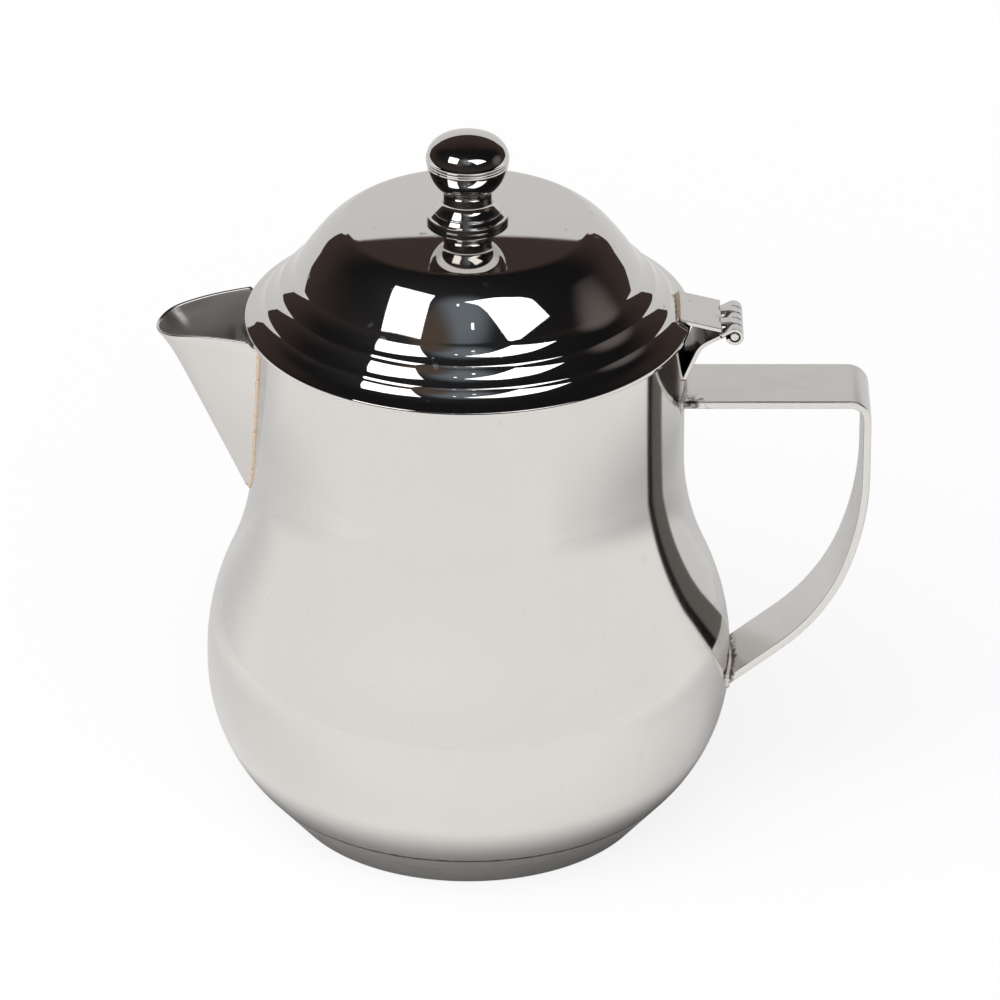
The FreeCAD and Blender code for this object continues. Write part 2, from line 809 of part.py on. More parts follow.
def make_knob():
    body = new_body("knob")
    bore = size["screw_radius"] + size["screw_fit"]
    bore_top = seat_height + size["screw_depth"] + size["screw_radius"]
    cup_top = seat_height + size["knob_cup_height"]
    bead_top = cup_top + size["knob_bead_height"]
    foot_top = seat_height + size["knob_foot_height"]
    foot_shoulder = size["knob_foot_radius"] - size["knob_foot_step"]
    ball_height = seat_height + size["knob_ball_height"]
    side_arc = size["knob_ball_arc"]
    side_x = size["knob_ball_radius"] - side_arc
    bead_rise = bead_top - ball_height
    bead_x = side_x + root(side_arc * side_arc - bead_rise * bead_rise)
    cap_way = (sine(size["knob_cap_angle"]), cosine(size["knob_cap_angle"]))
    cap_arc = work_out("knob_cap_arc", side_x / cap_way[0] + side_arc)
    cap_edge = (side_x + side_arc * cap_way[0], ball_height + side_arc * cap_way[1])
    cap_top = ball_height - (cap_arc - side_arc) * cap_way[1] + cap_arc
    corners = [
        (bore, seat_height),
        (size["knob_foot_radius"], seat_height),
        (size["knob_foot_radius"], foot_top),
        (foot_shoulder, foot_top),
        (size["knob_waist_radius"], seat_height + size["knob_waist_low"]),
        (
            size["knob_waist_radius"],
            seat_height + size["knob_waist_high"],
            left(size["knob_cup_arc"]),
        ),
        (size["knob_cup_radius"], cup_top, left(size["knob_bead_arc"])),
        (bead_x, bead_top, left(side_arc)),
        cap_edge + (left(cap_arc),),
        (0, cap_top),
        (0, bore_top),
        (bore, bore_top),
    ]
    turn(body, "turned_knob", corners)
    return body


def make_knob_screw():
    body = new_body("knob_screw")
    head_top = seat_height - size["lid_wall"] - size["washer_thickness"]
    head_bottom = head_top - size["screw_head_height"]
    corners = [
        (0, head_bottom),
        (size["screw_head_radius"], head_bottom),
        (size["screw_head_radius"], head_top),
        (size["screw_radius"], head_top),
        (size["screw_radius"], seat_height + size["screw_depth"]),
        (0, seat_height + size["screw_depth"]),
    ]
    turn(body, "turned_screw", corners)
    return body


def make_knob_washer():
    body = new_body("knob_washer")
    top = seat_height - size["lid_wall"]
    bottom = top - size["washer_thickness"]
    corners = [
        (hole_radius, bottom),
        (size["washer_radius"], bottom),
        (size["washer_radius"], top),
        (hole_radius, top),
    ]
    turn(body, "plain_washer", corners)
    return body


sub_parts = [
    make_body_shell(),
    make_base_cup(),
    make_spout(),
    make_handle(),
    make_hinge_body_leaf(),
    make_hinge_pin(),
    make_lid_shell(),
    make_lid_collar(),
    make_hinge_lid_leaf(),
    make_knob(),
    make_knob_screw(),
    make_knob_washer(),
]
doc.recompute()

for item in doc.Objects:
    if "Invalid" in item.State or "Error" in item.State:
        raise RuntimeError(f"{item.Name} did not build: {item.State}")
for sub_part in sub_parts:
    shape = sub_part.Shape
    if shape.isNull() or not shape.isValid() or len(shape.Solids) != 1:
        raise RuntimeError(f"{sub_part.Label} is not one sound solid")

os.makedirs("parts", exist_ok=True)
for sub_part in sub_parts:
    sub_part.Shape.exportStep(f"parts/{sub_part.Label}.step")
    box = sub_part.Shape.BoundBox
    print(
        f"{sub_part.Label}: {sub_part.Shape.Volume:.1f} mm3,"
        f" x {box.XMin:.2f} to {box.XMax:.2f}, y {box.YMin:.2f} to {box.YMax:.2f},"
        f" z {box.ZMin:.2f} to {box.ZMax:.2f}"
    )
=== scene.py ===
# %% [markdown]
# A steel teapot with a hinged lid. The imported model gives the frame: every node sits at the origin, so a new
# piece is drawn where the real one is. All drawing is in millimetres, and one helper turns it into metres.

import bmesh
import bpy
import numpy as np
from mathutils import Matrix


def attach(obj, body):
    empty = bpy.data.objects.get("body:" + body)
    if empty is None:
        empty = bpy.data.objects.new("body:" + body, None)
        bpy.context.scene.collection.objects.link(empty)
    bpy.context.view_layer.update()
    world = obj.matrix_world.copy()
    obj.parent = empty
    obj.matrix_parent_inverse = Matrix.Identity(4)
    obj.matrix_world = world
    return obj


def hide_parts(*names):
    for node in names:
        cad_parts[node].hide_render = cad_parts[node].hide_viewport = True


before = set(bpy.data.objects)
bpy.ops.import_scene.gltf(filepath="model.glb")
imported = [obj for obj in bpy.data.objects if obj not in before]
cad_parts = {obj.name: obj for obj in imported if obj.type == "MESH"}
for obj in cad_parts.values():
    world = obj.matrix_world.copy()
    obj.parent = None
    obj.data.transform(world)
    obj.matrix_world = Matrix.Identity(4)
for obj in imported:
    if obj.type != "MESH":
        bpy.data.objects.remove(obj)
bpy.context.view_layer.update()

# %% [markdown]
# The camera comes first, because every later choice is judged through it. The picture shows hardly any
# perspective, so a long lens stands far back: 288 mm on a 36 mm sensor, 1.84 m away and 27.6 degrees up, aimed a
# little to the handle's side of the pot's axis.

# %% Camera
CAMERA_LIFT = np.radians(27.6)
CAMERA_FAR = 1.84
LOOK_AT = np.array([0.0073, 0.0, 0.0775])

camera = bpy.data.objects.new("camera", bpy.data.cameras.new("camera"))
camera.data.lens = 288
camera.data.sensor_width = 36
camera.location = LOOK_AT + CAMERA_FAR * np.array([0, -np.cos(CAMERA_LIFT), np.sin(CAMERA_LIFT)])
camera.rotation_euler = (np.pi / 2 - CAMERA_LIFT, 0, 0)
bpy.context.collection.objects.link(camera)
bpy.context.scene.camera = camera
print("camera at", [round(v, 3) for v in camera.location])

# %% [markdown]
# Nearly all of the pot is turned or bent sheet, so its shapes start as lines. A line is an array of points:
# straight runs and arcs, chained end to end. Corners are cut back a little and bridged by a small curve, because
# no pressed edge is perfectly sharp and a mirror finish needs that small turn to catch the light.

# %% Lines made of runs and arcs
def straight(start, end, steps):
    """Points spaced evenly between two ends: (1 - s) start + s end."""
    share = np.linspace(0, 1, steps)[:, None]
    return (1 - share) * np.asarray(start, float) + share * np.asarray(end, float)


def arc(start, end, radius, steps):
    """Part of a circle through two points. A radius above zero turns left on the way, below zero right:
    the centre lies beside the chord's middle, and the points turn about it by equal angles."""
    start, end = np.asarray(start, float), np.asarray(end, float)
    chord = end - start
    half = np.hypot(*chord) / 2
    aside = np.array([-chord[1], chord[0]]) / (2 * half)
    centre = (start + end) / 2 + np.sign(radius) * aside * np.sqrt(radius**2 - half**2)
    first, last = start - centre, end - centre
    turn = np.arctan2(first[0] * last[1] - first[1] * last[0], first @ last)
    angle = np.arctan2(first[1], first[0]) + turn * np.linspace(0, 1, steps)
    return centre + abs(radius) * np.stack([np.cos(angle), np.sin(angle)], axis=1)


def route(start, *stops):
    """Runs end to end. Each stop is (end, points) for a straight run, or (end, points, radius) for an arc."""
    runs = []
    for end, count, *radius in stops:
        runs.append(arc(start, end, *radius, count) if radius else straight(start, end, count))
        start = end
    return runs


def shorten(points, front, back):
    """The same line without these lengths at its two ends, read off along its own length."""
    reach = np.concatenate([[0], np.cumsum(np.hypot(*np.diff(points, axis=0).T))])
    inner = reach[(reach > front + 1e-6) & (reach < reach[-1] - back - 1e-6)]
    stations = np.concatenate([[front], inner, [reach[-1] - back]])
    return np.stack([np.interp(stations, reach, points[:, axis]) for axis in (0, 1)], axis=1)


def chain(runs, rounding, closed=False):
    """Joins runs end to end. rounding gives one length for the corner after each run: the corner C is cut back
    by that length to A and B and bridged by the curve (1-t)^2 A + 2t(1-t) C + t^2 B."""
    last = len(runs) - 1
    bend = np.linspace(0, 1, 7)[1:-1, None]
    line = []
    for index, points in enumerate(runs):
        front = rounding[index - 1] if index or closed else 0
        back = rounding[index] if index < last or closed else 0
        kept = shorten(points, front, back)
        line.append(kept if front or not line else kept[1:])
        if back:
            after = runs[(index + 1) % len(runs)]
            arrive = shorten(after, back, 0)[0]
            corner = points[-1]
            line.append((1 - bend) ** 2 * kept[-1] + 2 * bend * (1 - bend) * corner + bend**2 * arrive)
    line = np.concatenate(line)
    return line[:-1] if closed and not rounding[-1] else line


print("an arc of 5 points:", arc((1, 0), (0, 1), 1, 5).round(2).tolist())

# %% [markdown]
# A surface is a grid of points: rows along a profile, columns around or across. One helper turns grids into a
# mesh. It writes whole arrays with foreach_set, lays a UV map in metres, keeps named marks on the points for the
# materials to read, merges doubles at seams and poles, closes open ends where asked, and turns all faces
# outwards.

# %% Meshes from grids
MM = 0.001
AROUND = 2 * np.pi


def revolve(line, angles):
    """A turned surface: the point (radius, height) of the line goes to (radius cos a, radius sin a, height)."""
    radius, height = line[:, :1], line[:, 1:]
    return np.stack([radius * np.cos(angles), radius * np.sin(angles), height + 0 * angles], axis=2)


def full_turn(columns):
    """Equal angles once around."""
    return np.arange(columns) * AROUND / columns


def bell(value, width):
    """A soft spot for the marks: exp(-(value / width)^2), one at nought and fading on both sides."""
    return np.exp(-((value / width) ** 2))


def grid_faces(rows, columns, ring_rows, ring_columns):
    """The four corners of each cell of a grid, whose rows or columns may close into a ring."""
    row = np.arange(rows if ring_rows else rows - 1)[:, None]
    column = np.arange(columns if ring_columns else columns - 1)[None, :]
    below, beside = (row + 1) % rows, (column + 1) % columns
    corners = [row * columns + column, row * columns + beside, below * columns + beside, below * columns + column]
    return np.stack(corners, axis=2).reshape(-1, 4)


def grid_lay(points, ring_rows, ring_columns):
    """Each cell corner's place in metres: mean length along the rows, and along the columns."""
    closed = np.pad(points, ((0, int(ring_rows)), (0, int(ring_columns)), (0, 0)), mode="wrap")
    steps = [np.linalg.norm(np.diff(closed, axis=axis), axis=2).mean(axis=1 - axis) for axis in (0, 1)]
    along, across = (np.concatenate([[0], np.cumsum(step)]) for step in steps)
    place = np.stack(np.meshgrid(along, across, indexing="ij"), axis=2) * MM
    return np.stack([place[:-1, :-1], place[:-1, 1:], place[1:, 1:], place[1:, :-1]], axis=2).reshape(-1, 4, 2)


def grid(points, ring_rows=False, ring_columns=False, keep=None, **marks):
    """A grid of points (rows x columns x 3, in mm) with its faces, its lay and its marks, one value a point."""
    rows, columns = points.shape[:2]
    faces = grid_faces(rows, columns, ring_rows, ring_columns)
    lay = grid_lay(points, ring_rows, ring_columns)
    if keep is not None:
        faces, lay = faces[keep.ravel()], lay[keep.ravel()]
    marks = {name: np.broadcast_to(value, (rows, columns)).ravel() for name, value in marks.items()}
    return points.reshape(-1, 3), faces, lay, marks


def spun(line, columns, ring_rows=False, **marks):
    """The grid of a line turned once about the axis."""
    return grid(revolve(line, full_turn(columns)), ring_rows, True, **marks)


def make_piece(name, grids, body, node, material, close=False, even=False):
    """One object from several grids, riding on a body, standing for a node and wearing one material."""
    starts = np.cumsum([0] + [len(g[0]) for g in grids])
    points = np.concatenate([g[0] for g in grids]) * MM
    faces = np.concatenate([g[1] + start for g, start in zip(grids, starts)])
    lay = np.concatenate([g[2] for g in grids])
    mesh = bpy.data.meshes.new(name)
    mesh.vertices.add(len(points))
    mesh.vertices.foreach_set("co", points.ravel())
    mesh.loops.add(faces.size)
    mesh.loops.foreach_set("vertex_index", faces.ravel())
    mesh.polygons.add(len(faces))
    mesh.polygons.foreach_set("loop_start", np.arange(0, faces.size, 4))
    mesh.uv_layers.new(name="lay").uv.foreach_set("vector", lay.ravel())
    for mark in sorted({mark for g in grids for mark in g[3]}):
        values = [g[3].get(mark, np.zeros(len(g[0]))) for g in grids]
        mesh.attributes.new(mark, "FLOAT", "POINT").data.foreach_set("value", np.concatenate(values))
    mesh.update(calc_edges=True)
    draft = bmesh.new()
    draft.from_mesh(mesh)
    bmesh.ops.remove_doubles(draft, verts=draft.verts, dist=2e-6)
    bmesh.ops.dissolve_degenerate(draft, edges=draft.edges, dist=1e-7)
    if close:
        bmesh.ops.holes_fill(draft, edges=[edge for edge in draft.edges if edge.is_boundary], sides=0)
    bmesh.ops.recalc_face_normals(draft, faces=draft.faces)
    loose = sum(edge.is_boundary for edge in draft.edges)
    draft.to_mesh(mesh)
    draft.free()
    mesh.shade_smooth()
    piece = bpy.data.objects.new(name, mesh)
    bpy.context.collection.objects.link(piece)
    if even:
        piece.modifiers.new("even_shading", "WEIGHTED_NORMAL")
    mesh.materials.append(material)
    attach(piece, body)
    if node:
        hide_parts(node)
    print(name, "faces", len(mesh.polygons), "open edges", loose)


# %% [markdown]
# Now the finishes. All of it is one stainless steel, and only the surface work differs: mirror polish on the pot,
# lid and knob, satin on the foot, the handle and inside, and straw to brown heat colours along the welds. Four
# effects come back in several materials, so each is a shader node group: brush lines round a turned piece, brush
# lines along a strip, handling marks that also carry painted shade, and heat tint. Small helpers keep the wiring
# readable.

# %% Node wiring
def new_group(name, inputs, outputs):
    """An empty shader node group. inputs and outputs give the kind of each named socket."""
    tree = bpy.data.node_groups.new(name, "ShaderNodeTree")
    for way, sockets in (("INPUT", inputs), ("OUTPUT", outputs)):
        for label, kind in sockets.items():
            tree.interface.new_socket(label, in_out=way, socket_type="NodeSocket" + kind)
    return tree, tree.nodes.new("NodeGroupInput").outputs, tree.nodes.new("NodeGroupOutput").inputs


def node(tree, kind, settings=None, **links):
    """One node: settings are its properties, links its inputs (underscores for spaces, _0 for a place)."""
    made = tree.nodes.new("ShaderNode" + kind)
    for label, value in (settings or {}).items():
        setattr(made, label, value)
    for label, value in links.items():
        place = int(label[1:]) if label[1:].isdigit() else label.replace("_", " ")
        if isinstance(value, bpy.types.NodeSocket):
            tree.links.new(value, made.inputs[place])
        else:
            made.inputs[place].default_value = value
    return made


def source(tree, kind, output):
    """One output of a new node that needs no wires."""
    return tree.nodes.new("ShaderNode" + kind).outputs[output]


def parts(tree, vector):
    """The x, y and z of a vector."""
    return node(tree, "SeparateXYZ", Vector=vector).outputs


def maths(tree, operation, first, second=0.0):
    """The value first (operation) second."""
    return node(tree, "Math", {"operation": operation}, _0=first, _1=second).outputs[0]


def fade(tree, value, low, high, start=0.0, end=1.0):
    """A soft step: start up to low, end from high on, eased between."""
    ends = {"From_Min": low, "From_Max": high, "To_Min": start, "To_Max": end}
    return node(tree, "MapRange", {"interpolation_type": "SMOOTHSTEP"}, Value=value, **ends).outputs["Result"]


def blend(tree, amount, first, second):
    """A colour mix, both colours given or wired."""
    return node(tree, "Mix", {"data_type": "RGBA"}, _0=amount, _6=first, _7=second).outputs[2]


def use(tree, group, **links):
    """A node group put to use: its outputs."""
    return node(tree, "Group", {"node_tree": group}, **links).outputs


def noise(tree, vector, scale, detail, rough=0.5):
    """Layered noise, from nought to one."""
    return node(tree, "TexNoise", Vector=vector, Scale=scale, Detail=detail, Roughness=rough).outputs[0]


# %% Brush lines, handling marks with painted shade, and heat tint
STRAW, BROWN = (0.70, 0.56, 0.43, 1), (0.16, 0.09, 0.055, 1)

tree, given, result = new_group(
    "turned_lines", {"Vector": "Vector", "Across": "Float", "Around": "Float"}, {"Lines": "Float"},
)
x, y, z = parts(tree, given["Vector"])
radius = maths(tree, "SQRT", maths(tree, "ADD", maths(tree, "MULTIPLY", x, x), maths(tree, "MULTIPLY", y, y)))
way = node(
    tree, "CombineXYZ",
    X=maths(tree, "MULTIPLY", radius, given["Across"]),
    Y=maths(tree, "MULTIPLY", maths(tree, "ARCTAN2", y, x), given["Around"]),
    Z=maths(tree, "MULTIPLY", z, given["Across"]),
)
tree.links.new(fade(tree, noise(tree, way.outputs[0], 1.0, 5.0, 0.7), 0.3, 0.7), result["Lines"])
turned_lines = tree

tree, given, result = new_group("strip_lines", {"Vector": "Vector"}, {"Lines": "Float"})
way = node(tree, "VectorMath", {"operation": "MULTIPLY"}, _0=given["Vector"], _1=(60.0, 9000.0, 0.0))
tree.links.new(fade(tree, noise(tree, way.outputs[0], 1.0, 5.0, 0.7), 0.3, 0.7), result["Lines"])
strip_lines = tree

# The soil output darkens for real grime and for painted shade on hidden faces, which come in through the same
# mark.
tree, given, result = new_group(
    "handling_marks_and_shade",
    {"Vector": "Vector", "Size": "Float", "Grime": "Float"},
    {"Smudge": "Float", "Specks": "Float", "SoilAndShade": "Float"},
)
cloud = noise(tree, given["Vector"], given["Size"], 6.0, 0.62)
grit = noise(tree, given["Vector"], maths(tree, "MULTIPLY", given["Size"], 9.0), 2.0)
blotch = noise(tree, given["Vector"], maths(tree, "MULTIPLY", given["Size"], 16.0), 4.0)
tree.links.new(fade(tree, cloud, 0.45, 0.75), result["Smudge"])
tree.links.new(fade(tree, grit, 0.69, 0.74), result["Specks"])
tree.links.new(fade(tree, maths(tree, "ADD", given["Grime"], blotch), 0.9, 1.2), result["SoilAndShade"])
handling_marks_and_shade = tree

tree, given, result = new_group(
    "heat_tint",
    {"Steel": "Color", "Heat": "Float", "Vector": "Vector"},
    {"Color": "Color", "Dull": "Float"},
)
ripple = noise(tree, given["Vector"], 900.0, 3.0)
warmth = maths(tree, "MULTIPLY", given["Heat"], fade(tree, ripple, 0.25, 0.7, 0.55, 1.1))
straw = blend(tree, fade(tree, warmth, 0.1, 0.55), given["Steel"], STRAW)
brown = blend(tree, fade(tree, warmth, 0.6, 0.95), straw, BROWN)
tree.links.new(brown, result["Color"])
tree.links.new(fade(tree, warmth, 0.2, 0.9), result["Dull"])
heat_tint = tree
print("node groups:", [tree.name for tree in (turned_lines, strip_lines, handling_marks_and_shade, heat_tint)])

# %% [markdown]
# Every finish follows one recipe, so one function writes the material. Smudges, specks, grime and painted shade
# darken the base colour, grime and painted shade through one mark, and heat tints it; smudges, specks, brushing
# and heat raise the roughness; brushing also lifts a very shallow bump. What differs is which way the brush ran:
# round a turned piece, up a drawn wall, or along a strip by its UV map. A thin rough coat stands for the haze of
# fine scratches that gives bright reflections a soft bloom.

# %% The steel recipe
STEEL = (0.69, 0.672, 0.652)
# The near black of grime and of painted shade.
GRIME_AND_SHADE = (0.035, 0.029, 0.026, 1)
STRETCH = {"turned": (9000.0, 3.0), "upright": (40.0, 260.0)}
MARK_SIZE, BRUSH_DEPTH = 38.0, 0.0004
HAZE_ROUGH, BURNT_ROUGH = 0.4, 0.3


def mark(tree, name):
    """A mark that make_piece kept on the points."""
    return node(tree, "Attribute", {"attribute_name": name}).outputs["Fac"]


def steel(
    name, rough, brushed, smudged, lines="turned", inner_rough=None, shade=1.0, lift=0.02, speckled=0.1, haze=0.0,
):
    """A metallic Principled material. rough is its own roughness, brushed and smudged what those effects add."""
    made = bpy.data.materials.new(name)
    made.use_nodes = True
    tree = made.node_tree
    shader = tree.nodes["Principled BSDF"]
    shader.inputs["Metallic"].default_value = 1.0
    shader.inputs["Coat Weight"].default_value = haze
    shader.inputs["Coat Roughness"].default_value = HAZE_ROUGH
    place = source(tree, "TexCoord", "Object")
    if lines in STRETCH:
        across, around = STRETCH[lines]
        brush = use(tree, turned_lines, Vector=place, Across=across, Around=around)["Lines"]
    else:
        brush = use(tree, strip_lines, Vector=node(tree, "UVMap", {"uv_map": "lay"}).outputs[0])["Lines"]
    marks = use(tree, handling_marks_and_shade, Vector=place, Size=MARK_SIZE, Grime=mark(tree, "grime"))
    base, dim, dark = (tuple(share * shade * value for value in STEEL) + (1,) for share in (1, 0.88, 0.45))
    colour = blend(tree, maths(tree, "MULTIPLY", marks["Smudge"], smudged * 4), base, dim)
    colour = blend(tree, maths(tree, "MULTIPLY", marks["Specks"], speckled), colour, dark)
    # Real grime and painted shade, carried by one mark, darken the colour towards near black.
    colour = blend(tree, marks["SoilAndShade"], colour, GRIME_AND_SHADE)
    tint = use(tree, heat_tint, Steel=colour, Heat=mark(tree, "burnt"), Vector=place)
    tree.links.new(tint["Color"], shader.inputs["Base Color"])
    total = rough if inner_rough is None else fade(tree, mark(tree, "inside"), 0.4, 0.6, rough, inner_rough)
    added = [(brush, brushed), (marks["Smudge"], smudged), (marks["Specks"], speckled)]
    for effect, amount in added + [(tint["Dull"], BURNT_ROUGH)]:
        total = maths(tree, "ADD", total, maths(tree, "MULTIPLY", effect, amount))
    tree.links.new(total, shader.inputs["Roughness"])
    relief = node(tree, "Bump", Strength=lift, Distance=BRUSH_DEPTH, Height=brush)
    tree.links.new(relief.outputs[0], shader.inputs["Normal"])
    return made


pot_polish = steel("pot_polish", 0.07, 0.04, 0.05, lines="upright", inner_rough=0.3, lift=0.004, speckled=0.06)
foot_satin = steel("foot_satin", 0.24, 0.12, 0.08, shade=0.86, lift=0.03)
spout_polish = steel("spout_polish", 0.1, 0.03, 0.04, lines="along", inner_rough=0.3, speckled=0.06)
handle_satin = steel("handle_satin", 0.15, 0.1, 0.08, lines="along", speckled=0.04)
lid_polish = steel("lid_polish", 0.012, 0.012, 0.012, inner_rough=0.3, lift=0.002, speckled=0.12, haze=0.1)
collar_satin = steel("collar_satin", 0.25, 0.1, 0.06)
hinge_strip = steel("hinge_strip", 0.1, 0.08, 0.07, lines="along", speckled=0.15)
knob_polish = steel("knob_polish", 0.012, 0.01, 0.01, lift=0.002, haze=0.08)
fastener = steel("fastener", 0.22, 0.1, 0.08, shade=0.9)
weld_metal = steel("weld_metal", 0.4, 0.1, 0.1, shade=0.9, lift=0.05, speckled=0.5)
print("materials:", len(bpy.data.materials))

# %% [markdown]
# The pot is spun from sheet 0.8 mm thick: a rounded haunch above the foot, a full belly, a shoulder that turns
# into a hollow waist, and a straight neck. The inside runs one wall further in, and the rim between them is
# rounded. The line is turned about the axis, and a mark tells inside from outside, because only the outside is
# polished.

# %% The pot's line
WALL = 0.8
SEAM = (50.6, 10.8)
BELLY, NECK, RIM = 60.6, 49.45, 124.7
BAND_LOW, BAND_HIGH, NECK_LOW = 37.4, 39.5, 90.93
WAIST, WAIST_IN, SEAM_IN = (55.73, 61.94), (55.0, 61.61), (49.53, 10.8)
HAUNCH_ARC, BELLY_ARC, WAIST_ARC = 40.378, 54.2, 70
STRAINER_LOW, STRAINER_HIGH, STRAINER_HALF = 92.5, 117.5, 15.0
BORE, BELLY_IN = NECK - WALL, BELLY - WALL

outside = route(
    SEAM, ((BELLY, BAND_LOW), 30, HAUNCH_ARC), ((BELLY, BAND_HIGH), 3), (WAIST, 26, BELLY_ARC),
    ((NECK, NECK_LOW), 30, -WAIST_ARC), ((NECK, STRAINER_LOW), 3), ((NECK, STRAINER_HIGH), 41), ((NECK, RIM), 8),
)
within = route(
    (NECK, RIM), ((BORE, RIM), 2), ((BORE, STRAINER_HIGH), 8), ((BORE, STRAINER_LOW), 41), ((BORE, NECK_LOW), 3),
    (WAIST_IN, 20, WAIST_ARC + WALL), ((BELLY_IN, BAND_HIGH), 16, WALL - BELLY_ARC), ((BELLY_IN, BAND_LOW), 2),
    (SEAM_IN, 18, WALL - HAUNCH_ARC), (SEAM, 2),
)
pot_line = chain(outside + within, [0] * 6 + [0.3, 0.3] + [0] * 6 + [0.12, 0.12], closed=True)


def skin_radius(height):
    """The outside radius of the pot at a height, read off its line."""
    line = np.concatenate(outside)
    return np.interp(height, line[:, 1], line[:, 0])


print("pot line points:", len(pot_line), "radius at 70 mm:", float(skin_radius(70.0)))

# %% [markdown]
# Behind the spout the neck is drilled as a strainer, in rows of one to five holes. The columns there are spaced
# so that each hole owns a square of eight by eight cells. Those cells are left out, and a collar of rings takes
# their place: its outer ring is the square, its inner ring the hole.

# %% The pot with its strainer
HOLE, PITCH, HOLES_FROM = 1.6, 5.0, 95.0
CELL = PITCH / 8
SOFT_EDGE = 0.12
FINE = 48
NICK, WELD_HALF, WELD_HEIGHT = (8.8, 12.5), 9.8, 106.8

fine_arc = np.linspace(-STRAINER_HALF, STRAINER_HALF, FINE + 1) / NECK + np.pi
coarse_arc = np.linspace(fine_arc[-1], fine_arc[0] + AROUND, 241)[1:-1]
pot_angles = np.concatenate([fine_arc, coarse_arc])
hole_places = [
    (across * PITCH - row * PITCH / 2, HOLES_FROM + row * PITCH) for row in range(5) for across in range(row + 1)
]

pot_points = revolve(pot_line, pot_angles)
rows, columns = pot_points.shape[:2]
middle_height = (pot_line[:, 1] + np.roll(pot_line[:, 1], -1)) / 2
middle_arc = np.concatenate([(fine_arc[:-1] + fine_arc[1:]) / 2, np.zeros(columns - FINE)])
keep = np.ones((rows, columns), bool)
for across, height in hole_places:
    near_height = abs(middle_height - height) < PITCH / 2
    near_arc = abs((middle_arc - np.pi) * NECK - across) < PITCH / 2
    keep &= ~(near_height[:, None] & near_arc)

side, end = np.arange(-4, 4) * CELL, np.full(8, 4 * CELL)
square = np.concatenate([np.stack(edge, 1) for edge in ((side, -end), (end, side), (-side, end), (-end, -side))])
spokes = square / np.linalg.norm(square, axis=1)[:, None]


def strainer_hole(across, height):
    """A drilled hole: rings go from the square to the hole's soft edge, through the wall and out to the square."""
    share = np.array([0, 0.35, 0.7, 1])[:, None, None]
    rings = (1 - share) * square + share * spokes * (HOLE + SOFT_EDGE)
    bore = np.repeat(spokes[None] * HOLE, 2, axis=0)
    flat = np.concatenate([rings, bore, rings[::-1]])
    depth = np.array([0] * 4 + [SOFT_EDGE, WALL - SOFT_EDGE] + [WALL] * 4)[:, None]
    angle = (flat[..., 0] + across) / NECK + np.pi
    radius = NECK - depth
    return np.stack([radius * np.cos(angle), radius * np.sin(angle), flat[..., 1] + height], axis=2), depth / WALL


pot_inside = np.zeros(rows)
pot_inside[sum(len(run) - 1 for run in outside) + 8:] = 1
x, y, z = np.moveaxis(pot_points, 2, 0)
seam_line = bell(z - SEAM[1], 0.4)
nick = 0.5 * bell(np.hypot(x - NICK[0], z - NICK[1]), 0.8) * (y < 0)
by_weld = np.hypot(np.maximum(abs(y) - WELD_HALF, 0), np.maximum(abs(z - WELD_HEIGHT) - 0.9, 0))
burnt = 0.75 * bell(by_weld, 2.0) * (x > 0)
pot_grime = np.maximum.reduce([seam_line, nick, burnt]) * (1 - pot_inside[:, None])
holes = [strainer_hole(*place) for place in hole_places]
pot_grids = [grid(pot_points, True, True, keep, inside=pot_inside[:, None], grime=pot_grime)]
pot_grids += [grid(points, ring_columns=True, inside=depth) for points, depth in holes]
make_piece("pot_body", pot_grids, "pot", "body_shell", pot_polish)

# %% [markdown]
# The foot is a shallow cup seamed under the pot. Its tapering side shows as a satin band, and its bottom is
# raised inside a standing ring. It is one turned line that starts and ends on the axis.

# %% The foot
foot_runs = route(
    (0, 2.5), ((33.9, 2.5), 30), ((36.4, 0), 6), ((41.4, 0), 6), (SEAM, 16), ((49.55, 10.8), 2),
    ((41.03, 0.8), 10), ((36.73, 0.8), 4), ((34.23, 3.3), 4), ((0, 3.3), 12),
)
foot_line = chain(foot_runs, [1.0, 0.8, 0.9, 0.25, 0.15, 0.5, 0.5, 0.5, 0])
foot_grime = bell(foot_line[:, 1:] - SEAM[1], 0.3)
make_piece("foot_cup", [spun(foot_line, 192, grime=foot_grime)], "pot", "base_cup", foot_satin)

# %% [markdown]
# The spout is an open trough folded from sheet and welded to the neck. At each height its section is a V with a
# rounded nose: from the foot to the lip the nose grows and the V closes. So the surface is a function of two
# parameters, round the section and up the height, and the sides end where they meet the neck. The lip is cut on a
# slope, so the top height depends on how far out a point is; a few rounds of substitution settle it.

# %% The spout
SPOUT_FOOT, SPOUT_FLOOR, SPOUT_LENGTH, SPOUT_REACH = 81.9, 85.2, 40.3, 70.8
SPOUT_WALL, WELD_GAP = 0.8, 0.05
NOSE_LOW, NOSE_GROWTH = 1.8, 7.2
FLARE_LOW, FLARE_LOSS = 46, 25
KEEL_LEAN, KEEL_HOLLOW = 25.3, 1.4
LIP_HIGH, LIP_DROP, LIP_DIP, LID_ROOM = 125.2, 2.6, 1.2, 51.35
SPOUT_ROWS = 48


